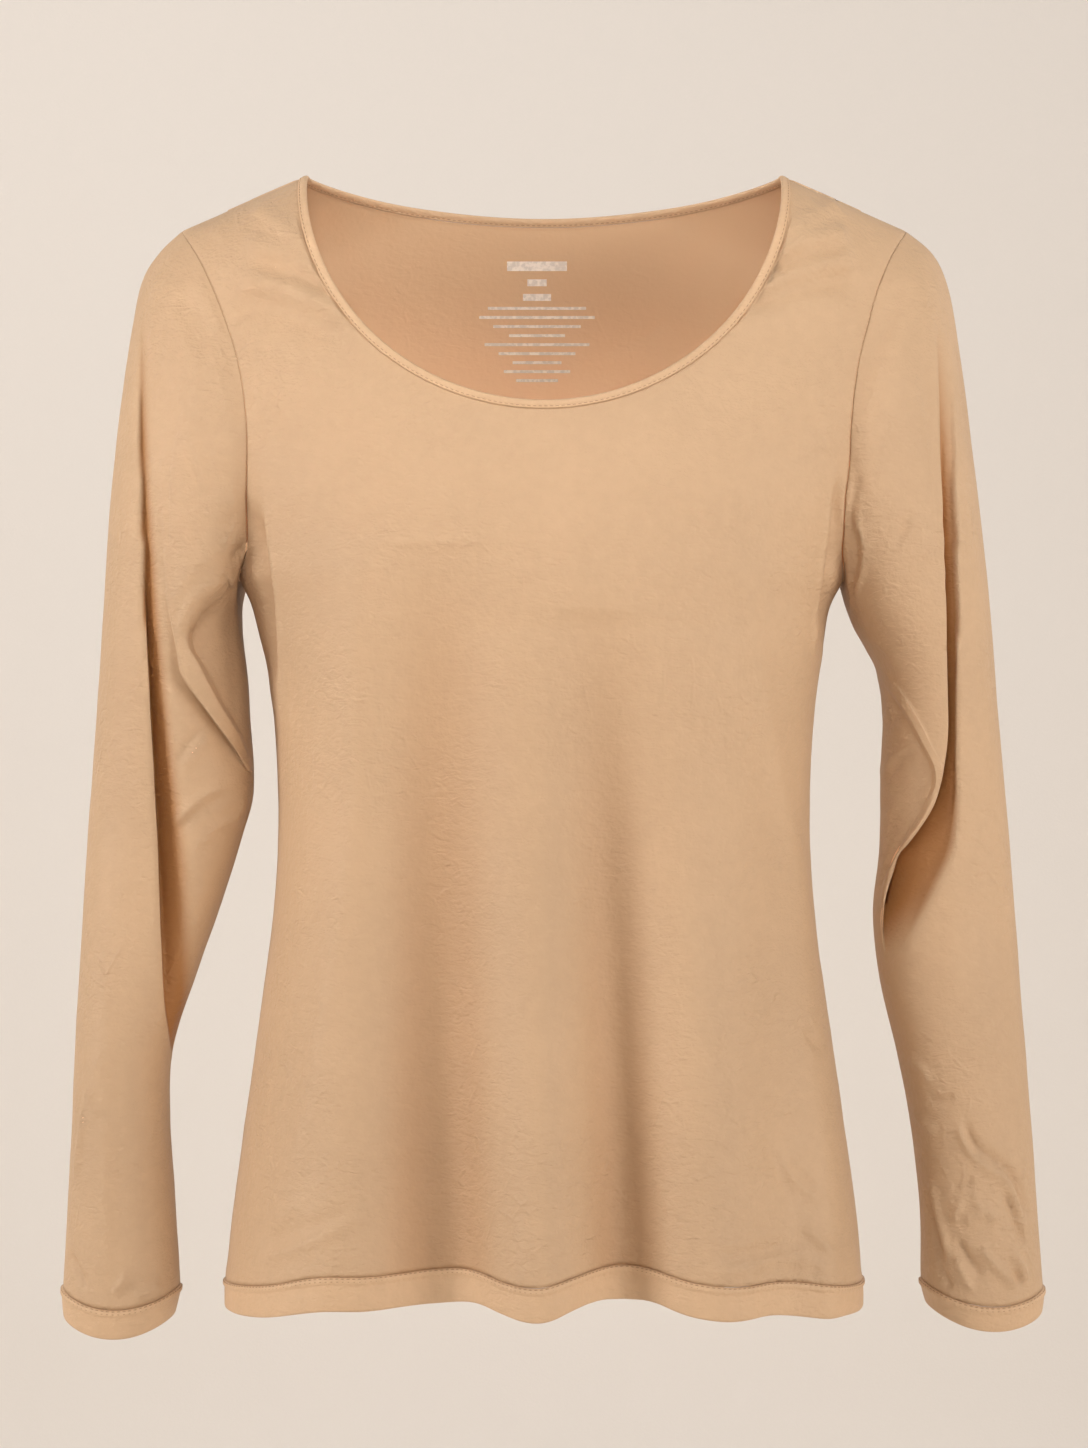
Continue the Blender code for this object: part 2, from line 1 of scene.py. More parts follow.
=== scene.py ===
"""Dresses the long-sleeved base layer top: fine cloth, binding, bands, stitches and stage.

Tables are in millimetres. Widths are measured out from the centre plane, heights up from
the shoulder points, with +X to the viewer's right and the front facing -Y.
"""

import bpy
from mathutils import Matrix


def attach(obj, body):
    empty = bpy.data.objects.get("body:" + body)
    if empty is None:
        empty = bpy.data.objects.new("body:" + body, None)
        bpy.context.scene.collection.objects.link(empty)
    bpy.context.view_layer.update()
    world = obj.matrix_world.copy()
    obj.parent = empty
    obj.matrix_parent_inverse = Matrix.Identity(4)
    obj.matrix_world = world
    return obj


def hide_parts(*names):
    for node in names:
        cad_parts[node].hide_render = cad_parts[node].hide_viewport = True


bl_info = {
    "name": "Base Layer Top",
    "version": (1, 0, 0),
    "blender": (4, 5, 0),
    "location": "View3D > Sidebar > Garment",
    "description": "Builds the cloth, trims, stitches and stage of a long-sleeved top",
    "category": "Object",
}

import bmesh
import bpy
import numpy as np
from mathutils import Vector

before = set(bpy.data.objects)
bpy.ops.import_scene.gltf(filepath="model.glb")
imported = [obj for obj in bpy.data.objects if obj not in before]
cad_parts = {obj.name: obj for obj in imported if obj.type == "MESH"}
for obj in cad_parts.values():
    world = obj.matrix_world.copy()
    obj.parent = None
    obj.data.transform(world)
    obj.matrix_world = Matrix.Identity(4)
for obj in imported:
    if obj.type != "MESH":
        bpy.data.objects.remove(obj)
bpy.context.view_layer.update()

MM = 0.001
TINY = 1e-9
FRONT, BACK = -1, 1
LEFT, RIGHT = -1, 1

# The cut, in millimetres
SEAM_GAP = 0.04
ROUND_POWER = 2.3
NECK_HALF_WIDTH = 134.0
NECK_TOP = 0.0
FRONT_NECK_DROP = 133.6
BACK_NECK_LEVEL = -18.0
BACK_NECK_POWER = 1.9
TIP_HALF_WIDTH = 199.0
TIP_HEIGHT = -28.2
SHOULDER_ROUND = 45.0
ARMPIT_HEIGHT = -220.0
ARMPIT_TURN = -170.0
HEM_LEVEL = -600.0
HEM_SIDE_LIFT = 0.2
HEM_SIDE_POWER = 4
FOLD_GROWTH = 0.55

# The folds of the sleeves, in millimetres along the cloth
TUCK_RUN = 1.2
FLAP_RUN = 1.0
VALLEY_RUN = 8.0
TILT_RUN = 12.0
LEAN_RUN = 7.0
LEAN_UNDER = 0.5
LIP_RUN = 0.12
FOLD_FADE = 1.6
FOLDS_END = {LEFT: -520.0, RIGHT: -465.0}
FOLDS_FADE = 30.0
# Pleat depth at which a sleeve's fold gets its full painted shade
PAINTED_SHADE_DEPTHS = {LEFT: 4.5, RIGHT: 9.0}
KNOT_GAP = 0.02
KNOT_HALVINGS = 30
CUFF_LEAN = 0.08
CUFF_FRONT_DIP = 9.0
CUFF_BACK_DIP = 3.0

# How many sleeve stations each change takes, counted from the armhole
FOLDS_SETTLE = 5.0
SEAM_SETTLES = 6.0
DIP_STARTS = 13.0

# How the panels' columns run, as shares of each half
NECK_SHARE = 0.6875
NECK_FLARE = 10.0
FLARE_POWER = np.log(0.5) / np.log(NECK_SHARE)
EVEN_TURN = 1.3

# Mesh density
PANEL_HALF_COLUMNS = 88
ARMHOLE_ROWS = 80
BODY_ROWS = 168
SLEEVE_RINGS_PER_STATION = 18
SLEEVE_FRONT_SPANS = (18, 8, 12, 12, 10, 4, 16)
SLEEVE_BACK_COLUMNS = 80
HEM_STEPS = 960
CUFF_STEPS = 300
BINDING_STEPS = 700
CREASE_STEPS = 6
PRINT_STEPS = 24
STITCH_SIDES = 8
STITCH_RINGS = 5
WALL_SIDES = 96
WALL_BENDS = 12

# Fine relief, in millimetres
CREASE_TAPER = 0.22
CREASE_SPREAD = 3
CRUMPLE_WAVES = 28
CRUMPLE_LENGTHS = (14, 46)
CRUMPLE_GRAIN = (1.0, 1.0, 0.7)
CRUMPLE_SEED = 11
GATHER_WAVES = 4
GATHER_LENGTHS = (9, 22)
GATHER_SEED = 23
GATHER_RISE = 0.22
GATHER_REACH = 16.0
EDGE_SHARES = (0.2, 0.45, 0.7)
EDGE_SETTLE = 5.0
HEM_RELIEF = 0.35
SEAM_WIDTH = 0.9
NORMAL_REACH = 0.4

# Trims: sections are distances along the cloth and out of it
HEM_BAND_HEIGHT = 18.5
CUFFS = (("cuff_left", LEFT, 16.5), ("cuff_right", RIGHT, 14.0))
CUFF_DRAW_IN = 2.0
RIDGE_SWELL = 0.12
RIDGE_TOP = 1.3
RIDGE_SECTION = (
    (0.3, -1.2),
    (0.3, 0.2),
    (0.8, 0.9),
    (1.5, 1.22),
    (2.3, 1.3),
    (3.1, 1.2),
    (3.8, 0.85),
    (4.3, 0.5),
)
SKIRT_SECTION = (
    # share of the height below the ridge, out
    (0.06, 0.42),
    (0.3, 0.5),
    (0.6, 0.52),
    (0.9, 0.45),
    (0.98, 0.15),
    (1.0, -0.45),
    (0.98, -1.05),
    (0.9, -1.4),
    (0.5, -1.5),
    (0.0, -1.6),
)
BINDING_SECTION = (
    (0.2, -0.9),
    (0.15, 0.35),
    (0.45, 0.72),
    (0.95, 0.75),
    (1.3, 0.45),
    (1.65, 0.72),
    (2.3, 0.9),
    (3.2, 0.9),
    (4.1, 0.72),
    (4.8, 0.3),
    (5.15, -0.4),
    (4.9, -1.05),
    (4.2, -1.45),
    (3.0, -1.6),
    (1.9, -1.5),
    (1.45, -1.25),
    (1.0, -1.5),
    (0.5, -1.4),
)
BINDING_ROWS = ((1.3, 0.5, 1), (1.45, -1.3, -1))
RIDGE_ROWS = ((0.9, 1.02), (2.5, 1.02))

# The knit's surface relief: scales are per metre, rises and pitches in metres
CREASE_SCALE = 60.0
CREASE_REACH = 0.09
CREASE_BEND = 0.012
CREASE_BEND_SCALE = 20.0
CREASE_RISE = 0.0003
SLEEVE_CREASE_RISE = 0.00039
TRIM_CREASE_RISE = 0.00009
BREAK_SCALE = 96.0
BREAK_RANGE = (0.45, 0.6)
PATCH_SCALE = 16.0
PATCH_RANGE = (0.35, 0.65)
GRAIN_SCALE = 330.0
GRAIN_RISE = 0.0006
RIPPLE_SCALE = 150.0
RIPPLE_STRETCH = (1.0, 1.0, 2.3)
RIPPLE_TWIST = 0.8
RIPPLE_RISE = 0.001
RIPPLE_FLOOR = 0.4
WALE_PITCH = 0.0005
COURSE_PITCH = 0.0006
WALE_RISE = 0.00001
INSIDE_RELIEF = 0.3
ROUGHNESS_SCALE = 60.0

# The other finishes' grain
THREAD_SCALE = 900.0
THREAD_RISE = 0.0001
PRINT_SCALE = 420.0
PRINT_CRACKS = (0.38, 0.62)
PRINT_RISE = 0.00003
PAPER_SCALE = 260.0
PAPER_RISE = 0.0002

# Roughness: the least, and how far it rises
KNIT_ROUGHNESS = (0.56, 0.12)
THREAD_ROUGHNESS = (0.45, 0.2)
PRINT_ROUGHNESS = (0.5, 0.15)
PAPER_ROUGHNESS = (0.85, 0.1)

# Colour: a tone is a factor on a piece's own colour, scales are per metre
MOTTLE_SCALES = (9.0, 160.0)
MOTTLE_DETAILS = (4.0, 2.0)
MOTTLE_SHARES = (0.7, 0.3)
MOTTLE_RANGE = (0.3, 0.7)
MOTTLE_TONES = (0.955, 1.045)
TRIM_TONE = 1.13
# Painted light: the inside face is lighter, and lighter still low down, standing in for light
# that reaches the inside of the neck
INSIDE_PAINTED_LIGHT_TONE = 1.2
INSIDE_LOW_PAINTED_LIGHT_TONE = 1.8
# Painted shade: a darker, more saturated colour for deep folds and troughs
PAINTED_SHADE_TONE = (0.68, 0.46, 0.25)
THREAD_TONES = (0.88, 1.1)
PRINT_TONES = (0.8, 1.0)
PAPER_COLOURS = ((0.775, 0.722, 0.668, 1.0), (0.795, 0.742, 0.688, 1.0))

# Heights between which the painted light on the inside changes, in metres
INSIDE_TOP = -0.04
INSIDE_LOW = -0.13

# A panel's trough this deep, in millimetres, has this share of painted shade
TROUGH_DEEP = 20.0
TROUGH_PAINTED_SHADE_SHARE = 0.3

# Plain printed bars inside the back neck
PRINT_BARS = (
    # height, half width, half height
    (-39, 17, 2.6),
    (-48, 5.5, 1.9),
    (-56, 8, 1.9),
    (-62, 28, 0.8),
    (-67, 33, 0.8),
    (-72, 25, 0.8),
    (-77, 16, 0.8),
    (-82, 30, 0.8),
    (-87, 22, 0.8),
    (-92, 14, 0.8),
    (-97, 19, 0.8),
    (-102, 12, 0.8),
)
PRINT_CENTRE = -4.0
PRINT_LIFT = 0.15

# Stage, in metres
CAMERA_DISTANCE = 2.0
CAMERA_HEIGHT = -0.299
PICTURE_HEIGHT_PIXELS = 1448
PIXEL_SIZE = 0.00055
SENSOR = 36.0
WARM = (1.0, 0.98, 0.96)
LIGHTS = (
    # name, place, aim, width, spread in degrees, watts, colour
    ("key", (-2.9, -1.25, 0.25), (0.0, 0.0, -0.4), 1.2, 180, 57, (1.0, 0.985, 0.97)),
    ("front fill", (0.2, -3.6, 0.5), (0.0, 0.0, -0.3), 2.0, 180, 6, WARM),
    ("neck fill", (0.0, -3.2, 1.2), (0.0, 0.0, 0.12), 0.8, 24, 1.15, (1.0, 0.98, 0.95)),
    ("right fill", (2.5, -1.9, -0.1), (0.0, 0.0, -0.4), 2.0, 180, 48, WARM),
    ("rear", (2.8, 1.5, 0.7), (0.0, 0.0, -0.3), 1.2, 180, 9, WARM),
    ("wall", (-0.6, 1.2, 1.6), (-1.1, 4.8, -0.9), 2.4, 180, 54, (1.0, 0.985, 0.97)),
)
WORLD_STRENGTH = 0.45
FLOOR_HEIGHT = -2.1
WALL_RADIUS = 4.8
WALL_TOP = 2.4
WALL_CURVE = 0.6
FLOOR_HOLE = 0.02

# The body's girth: half width and depths of the full form at each height
BODY = (
    # height, left, right, front, back
    (10, 213, 213, 44, 50),
    (-40, 211, 211, 62, 67),
    (-84, 208, 208, 77, 82),
    (-120, 204, 204, 89, 91),
    (-161, 190, 190, 100, 95),
    (-179, 181, 181, 104, 95),
    (-194, 174, 174, 106, 94),
    (-207, 170, 168, 107, 93),
    (-220, 167, 164, 107.5, 91),
    (-231, 161.5, 158.5, 107.2, 89),
    (-253, 155.5, 154, 105.2, 85),
    (-286, 149.5, 149, 100.5, 79),
    (-341, 145.8, 145.8, 93.5, 71),
    (-396, 147.8, 147.6, 90, 70),
    (-451, 154.8, 154.8, 90, 75),
    (-506, 162.4, 162.8, 92, 82),
    (-561, 170, 170.6, 94, 87),
    (-625, 177, 177, 96, 89),
)

# The armhole seam's distance from the centre plane on each side
ARMHOLE = (
    # height, left, right
    (-28.2, 199, 199),
    (-46, 187.4, 188),
    (-64, 178.4, 180),
    (-84, 170.3, 174),
    (-101, 164.6, 169.4),
    (-120, 160.6, 165.9),
    (-142, 158.4, 163.7),
    (-161, 158.3, 163),
    (-179, 159.2, 161),
    (-194, 159.2, 161),
    (-207, 160.5, 161),
    (-220, 167, 164),
)

# Soft vertical folds that open towards the hem; a rise above 0 stands out
FRONT_FOLDS = (
    # name, hem x, top x, top height, half width, rise
    ("left crest", -126, -98, -200, 30, 14),
    ("left trough", -52, -58, -205, 30, -29),
    ("middle crest", -2, -6, -250, 32, 13),
    ("middle trough", 42, 28, -240, 23, -26),
    ("right crest", 96, 82, -250, 34, 14),
    ("right side trough", 126, 120, -260, 14, -4),
    ("right side crest", 161, 153, -220, 17, 20),
)
BACK_FOLDS = (
    ("left crest", -92, -70, -250, 30, 13),
    ("left trough", -36, -30, -220, 27, -18),
    ("middle crest", 14, 6, -280, 30, 12),
    ("right trough", 66, 52, -230, 28, -19),
    ("right crest", 116, 98, -290, 26, 12),
)
FOLDS = {FRONT: FRONT_FOLDS, BACK: BACK_FOLDS}

# The seam line above the hem band, all round
HEM_SEAM = (
    # x, front height, back height
    (-176, -603, -603),
    (-150, -598.5, -604),
    (-120, -590.5, -603),
    (-93, -590.2, -603),
    (-74, -589.5, -604),
    (-60, -588.8, -606),
    (-38, -587.8, -607),
    (-17, -592.3, -605),
    (-2, -593, -603),
    (16, -588.5, -603),
    (37, -585.6, -605),
    (54, -586.2, -607),
    (76, -591, -606),
    (100, -594.2, -603),
    (124, -594, -602),
    (150, -597.5, -604),
    (176, -602.5, -602.5),
)

# Sleeve sections from the armhole to the cuff: the outer and the inner point seen from
# the front, how far the section bows towards the body, and its depths
LEFT_SLEEVE = (
    # outer x, outer height, inner x, inner height, bow, front, back
    (199, -28.2, 167, -220, 20, 60, 62),
    (211.2, -40, 167.8, -223.5, 18, 62, 63),
    (220.6, -55.4, 168, -228, 15, 62, 64),
    (225.5, -79.6, 167.8, -233, 12, 61, 63),
    (230.5, -112.6, 167.4, -238.5, 8, 59, 61),
    (235.4, -153.8, 166.6, -245.5, 5, 56, 58),
    (239.3, -200.6, 165.5, -255, 2, 52, 54),
    (242.6, -252.8, 163.5, -272, 0, 47, 50),
    (245.3, -291.3, 161.7, -297, 0, 42, 46),
    (248.6, -335, 159.8, -335, 0, 38, 42),
    (250.5, -360, 165.8, -360, 0, 36, 38),
    (253, -401.3, 178.8, -401.3, 0, 36, 34),
    (255.2, -437, 191.4, -437, 0, 37, 32),
    (257.4, -478.3, 204.5, -478.3, 0, 38, 31),
    (259, -516.8, 205.7, -516.8, 0, 37, 30),
    (261.3, -560.8, 203, -560.8, 0, 35, 29),
    (264, -607, 200.2, -607, 0, 33, 28),
)
RIGHT_SLEEVE = (
    (199, -28.2, 164, -220, 18, 60, 62),
    (212.9, -40, 164.4, -223.5, 16, 62, 63),
    (220.6, -54.8, 165, -228, 14, 62, 64),
    (225.5, -77.9, 166.2, -233.5, 11, 61, 63),
    (230.5, -112.6, 168.2, -239.5, 8, 59, 61),
    (235.4, -153.8, 171.5, -247.5, 5, 56, 58),
    (240.9, -200.6, 177.4, -258, 2, 52, 54),
    (245.9, -252.8, 184, -272, 0, 47, 50),
    (248.9, -291.3, 186.5, -297, 0, 42, 46),
    (252.5, -329.8, 185.4, -329.8, 0, 38, 42),
    (255.8, -368.3, 184.6, -368.3, 0, 36, 38),
    (258.5, -402.4, 181, -402.4, 0, 36, 34),
    (261.3, -439.8, 184.8, -439.8, 0, 37, 32),
    (264.3, -478.3, 193.9, -478.3, 0, 38, 31),
    (267.3, -516.8, 201.3, -516.8, 0, 37, 30),
    (270.6, -563.6, 206.8, -563.6, 0, 35, 29),
    (273.9, -607, 207.4, -603.5, 0, 33, 28),
)

# The long pleat down each sleeve's front, as distances from the centre plane: the cloth
# hangs over at its edge, drops to the foot and comes back to its own level at the far side
LEFT_PLEAT = (
    # height, edge, foot, far side, depth, lean, sharp share of the far side
    (-70, 220.5, 219, 211, 0, 0, 0),
    (-124, 219.2, 217.8, 209.5, 4, 0.2, 0),
    (-167, 217.4, 216, 207.5, 6, 0.4, 0),
    (-210, 216, 214.6, 204, 8, 0.8, 0),
    (-232, 215.4, 214, 202.5, 9, 1.0, 0),
    (-286, 213.8, 212.4, 197.5, 11, 1.3, 0),
    (-329, 212, 210.6, 192, 12.5, 1.5, 0),
    (-372, 210.2, 208.8, 186.5, 13, 1.5, 0),
    (-415, 208.6, 207.2, 185, 12.5, 1.4, 0),
    (-453, 206.8, 205.4, 186, 10, 1.1, 0),
    (-478, 205.2, 203.8, 189, 6, 0.6, 0),
    (-500, 206, 204, 194, 0, 0, 0),
    (-520, 207, 204.7, 196, 0, 0, 0),
    (-607, 212, 208, 203, 0, 0, 0),
)
RIGHT_PLEAT = (
    (-70, 211.6, 213.2, 222, 0, 0, 0),
    (-124, 212.1, 213.6, 221.5, 6, 0.4, 0.3),
    (-167, 212.6, 214.1, 221.3, 10, 0.8, 0.4),
    (-220, 213.9, 215.4, 221.8, 13, 1.2, 0.5),
    (-286, 215.8, 217.3, 222.6, 15, 1.5, 0.5),
    (-300, 216.3, 217.8, 222.8, 15, 1.5, 0.5),
    (-318, 214.9, 216.6, 222.8, 15, 1.5, 0.5),
    (-341, 209.4, 211.2, 223.5, 15, 1.5, 0.5),
    (-355, 201.6, 203.5, 223, 15, 1.5, 0.5),
    (-369, 191.6, 193.6, 221, 15, 1.2, 0.5),
    (-384, 187, 189, 214, 14, 0.8, 0.5),
    (-396, 184.8, 186.8, 208, 12, 0.4, 0.5),
    (-407, 184, 185.8, 202, 8, 0, 0.5),
    (-423, 185, 186.5, 193.5, 2, 0, 0.5),
    (-434, 187, 188, 190, 0, 0, 0),
    (-450, 190, 192, 195, 0, 0, 0),
    (-607, 219, 228, 237, 0, 0, 0),
)

# The raised strip along the seam that runs down the front: the cloth dips in front of it
LEFT_FLAP = (
    # height, edge, rise, dip, tilt
    (-120, 209, 0, 0, 0),
    (-167, 206.4, 0.5, 0, 1.5),
    (-210, 203.7, 0.8, 0.3, 3.5),
    (-232, 202.4, 1.0, 0.6, 4),
    (-259, 197.8, 2.2, 2.2, 2.4),
    (-271, 195.7, 3.2, 3.4, 2),
    (-292, 182.3, 4, 5, 1.6),
    (-308, 171.4, 4, 5, 1.4),
    (-320, 164.4, 3, 3, 0),
    (-332, 158, 0, 0, 0),
    (-346, 158, 0, 0, 0),
    (-607, 200, 0, 0, 0),
)
RIGHT_FLAP = (
    (-230, 172, 0, 0, 0),
    (-255, 178.5, 0.9, 0.4, 0),
    (-270, 186, 0.9, 0.4, 0),
    (-286, 196.5, 1, 0.5, 0),
    (-307, 208, 1, 0.5, 0),
    (-322, 214, 0.8, 0.3, 0),
    (-336, 216, 0, 0, 0),
    (-350, 216, 0, 0, 0),
    (-607, 220, 0, 0, 0),
)

# Where the sleeve's front folds back under the arm and shows its far half
LEFT_TUCK = (
    # height, edge, depth
    (-221, 166.5, 0),
    (-228, 173.4, 7),
    (-237, 184.3, 12),
    (-245, 189.4, 14),
    (-254, 191.4, 14),
    (-269, 184.3, 13),
    (-286, 176.3, 11),
    (-308, 164.5, 6),
    (-326, 160, 0),
    (-340, 160, 0),
    (-607, 206, 0),
)
RIGHT_TUCK = (
    (-221, 166, 0),
    (-255, 173.6, 0),
    (-270, 181.1, 4),
    (-286, 191.9, 6),
    (-307, 203, 6.5),
    (-322, 210, 6.5),
    (-331, 210.4, 6.5),
    (-344, 205.4, 6),
    (-364, 193.6, 4),
    (-386, 185.5, 0),
    (-400, 184, 0),
    (-607, 212, 0),
)
SLEEVES = {
    LEFT: (LEFT_SLEEVE, LEFT_PLEAT, LEFT_FLAP, LEFT_TUCK),
    RIGHT: (RIGHT_SLEEVE, RIGHT_PLEAT, RIGHT_FLAP, RIGHT_TUCK),
}

# Creases placed one by one on the cloth: a rise above 0 stands out
FRONT_CREASES = (
    # half width, rise, route in x and z
    # soft pleats that fan out from each side of the neck
    (5.5, 2.4, (-160, -16), (-142, -30), (-124, -46)),
    (5.5, 2.9, (-164, -38), (-140, -48), (-112, -62)),
    (5, -3.2, (-158, -49), (-134, -57.5), (-104, -75)),
    (7, 3.6, (-168, -60), (-136, -67.5), (-98, -85)),
    (8, -3.3, (-170, -72), (-140, -79), (-100, -95)),
    (1.6, -0.7, (-146, -50), (-141, -58), (-134, -69)),
    (1.6, 0.7, (-182, -30), (-176, -34), (-171, -40)),
    (5, 2.1, (163, -14), (146, -26), (130, -38)),
    (5.5, 4.4, (166, -33), (146, -40), (118, -53)),
    (5, -4.8, (164, -43), (141, -48), (114, -60)),
    (7, 5.2, (170, -46), (141, -56), (110, -68)),
    (8, -3.3, (172, -58), (137, -65), (104, -80)),
    (6, 2.4, (168, -72), (136, -74), (98, -88)),
    (1.6, 0.8, (141, -10), (147, -19), (152, -26)),
    (1.6, 0.8, (152, -12), (160, -20), (167, -27)),
    # long soft lines down the drape
    (7, 2.0, (-97, -196), (-99.5, -260), (-101, -339), (-106, -391), (-115, -444),
     (-123, -496), (-138, -549), (-147, -574)),
    (6, 1.5, (104, -214), (109, -240), (123, -316), (137, -378), (146, -430)),
    # the folds where the body turns under each arm
    (4, -7.0, (-155, -178), (-151, -204), (-148.5, -226), (-147, -252), (-146, -282)),
    (2.2, 3.0, (-150, -174), (-146, -206), (-142.5, -236), (-141, -276), (-141.5, -310)),
    (3.6, -6.0, (159, -166), (156.5, -190), (153.5, -214), (151, -236), (149.5, -262)),
    (2.0, 2.6, (154.5, -164), (151.7, -198), (149, -221), (147, -244), (145, -268)),
    (1.6, 0.9, (158.5, -176), (156, -196), (154.5, -210)),
    (3, 1.6, (-154, -587), (-136, -578), (-118, -570), (-88, -553)),
    (3.4, -1.2, (-152, -579), (-134, -569), (-116, -561), (-96, -550)),
    (3, 1.0, (-146, -570), (-138, -560), (-126, -551)),
    (2.6, -1.4, (114, -517), (122, -530), (127, -540), (133, -557)),
    (2.4, 1.8, (124, -531), (132, -538), (138.5, -545.5), (148, -555)),
    (2.4, -1.6, (128, -531), (137, -541), (146, -549)),
    (2.6, 1.8, (138, -564), (144, -571), (151, -578), (158, -587)),
    (3.2, 1.6, (82, -588), (110, -584), (129, -582), (155, -588)),
    (3, -1.4, (88, -580), (112, -577), (132, -575)),
    (3, -1.8, (140, -462), (146, -470), (153, -478)),
)
BACK_CREASES = (
    (7, 2.2, (-168, -40), (-138, -60), (-104, -66)),
    (6, -2.4, (-160, -70), (-130, -84), (-98, -86)),
    (7, 2.0, (168, -46), (140, -62), (100, -70)),
    (6, -2.2, (162, -74), (128, -90), (92, -92)),
    (6, -3.0, (-152, -226), (-120, -252), (-84, -290)),
    (5, 2.4, (-154, -246), (-128, -270), (-100, -304)),
    (6, -3.0, (154, -222), (118, -246), (88, -280)),
    (5, 2.2, (152, -244), (130, -262), (108, -292)),
    (9, -3.2, (-130, -330), (-60, -346), (10, -338)),
    (9, 3.0, (-100, -358), (-20, -368), (60, -356)),
    (8, -2.8, (20, -386), (70, -380), (128, -358)),
    (7, 2.4, (-132, -402), (-88, -398), (-34, -408)),
    (6, 2.2, (46, -420), (90, -410), (132, -396)),
    (5, 2.0, (-140, -590), (-110, -570), (-80, -560)),
    (4, -2.0, (-134, -578), (-108, -560), (-84, -548)),
    (5, 2.0, (110, -560), (130, -574), (148, -590)),
)
PANEL_CREASES = {FRONT: FRONT_CREASES, BACK: BACK_CREASES}
SLEEVE_BACK_CREASES = (
    # creases round the elbow, the same on both sleeves but for their mirror image
    (6, 2.4, (166, -262), (190, -276), (220, -282)),
    (5, -2.6, (168, -290), (192, -302), (226, -300)),
    (5, 2.4, (170, -318), (196, -326), (232, -318)),
    (5, -2.4, (172, -346), (200, -350), (226, -340)),
    (4, 1.8, (182, -372), (204, -372), (230, -360)),
    (6, 1.8, (186, -150), (200, -176), (214, -214)),
    (5, -1.8, (198, -430), (222, -450), (238, -486)),
    (4, 1.8, (206, -560), (226, -566), (250, -558)),
)
LEFT_SLEEVE_CREASES = (
    # the cap
    (8, -2.0, (-198, -62), (-186, -88), (-174, -108)),
    (5, 1.2, (-190, -54), (-180, -78), (-170, -96)),
    # a star of small creases on the upper arm
    (1.8, 1.1, (-193, -151), (-187, -153), (-180, -157)),
    (1.8, 1.3, (-190, -164), (-178, -164), (-167, -166)),
    (1.8, -0.9, (-190, -168), (-180, -169), (-170, -171)),
    (1.8, 0.9, (-170, -153), (-173, -160), (-177, -167)),
    # folds that run into the armpit
    (4, -1.8, (-164, -184), (-176, -196), (-190, -206)),
    (3.5, 2.0, (-160, -196), (-174, -205), (-190, -220), (-200, -240)),
    (2.2, -2.0, (-159, -203), (-166, -208), (-173, -216)),
    (3, 1.6, (-160, -176), (-170, -184), (-180, -196), (-186, -212)),
    (1.8, -1.4, (-158.5, -197), (-160, -205), (-164, -213)),
    # the rolled edge of the turned-back front, and the line beside the pleat
    (2.4, 2.2, (-168, -217), (-178, -223), (-188, -232), (-193.5, -243), (-195, -256)),
    # the seam just inside the lower arm's edge, and the puckers above it
    (1.4, -2.0, (-159, -318), (-159.7, -342), (-166, -362), (-175.5, -397), (-185, -422),
     (-193, -444)),
    (1.4, 1.5, (-163.5, -319), (-161, -324), (-158.5, -326)),
    (1.4, -1.5, (-163, -327), (-160, -331), (-157.5, -334)),
    # creases below the elbow
    (2.4, -2.2, (-199, -321), (-189, -307), (-183, -301)),
    (2.2, 1.8, (-196, -323), (-187, -311), (-180, -304)),
    (2.4, 1.8, (-202, -356), (-188, -341), (-172, -331)),
    (2.2, -1.6, (-198, -358), (-186, -346), (-170, -336)),
    (2.2, 1.4, (-190, -368), (-178, -355), (-166, -350)),
    (2.0, -1.6, (-196, -375), (-190, -383), (-186, -389)),
    (2.0, 1.4, (-163, -336), (-165, -346), (-170, -353)),
    # the soft ridge towards the cuff and the crisp line beside it
    (5, 1.1, (-238, -410), (-238, -459), (-237, -545), (-236, -606)),
    (1.8, 2.4, (-239, -470), (-248, -508), (-255.5, -552)),
    (1.8, -2.7, (-258, -586), (-253, -595), (-247, -604)),
    (1.8, 2.4, (-234, -608), (-229, -602), (-225, -596)),
    (2.0, 2.7, (-223, -608), (-215, -607), (-207, -603)),
)
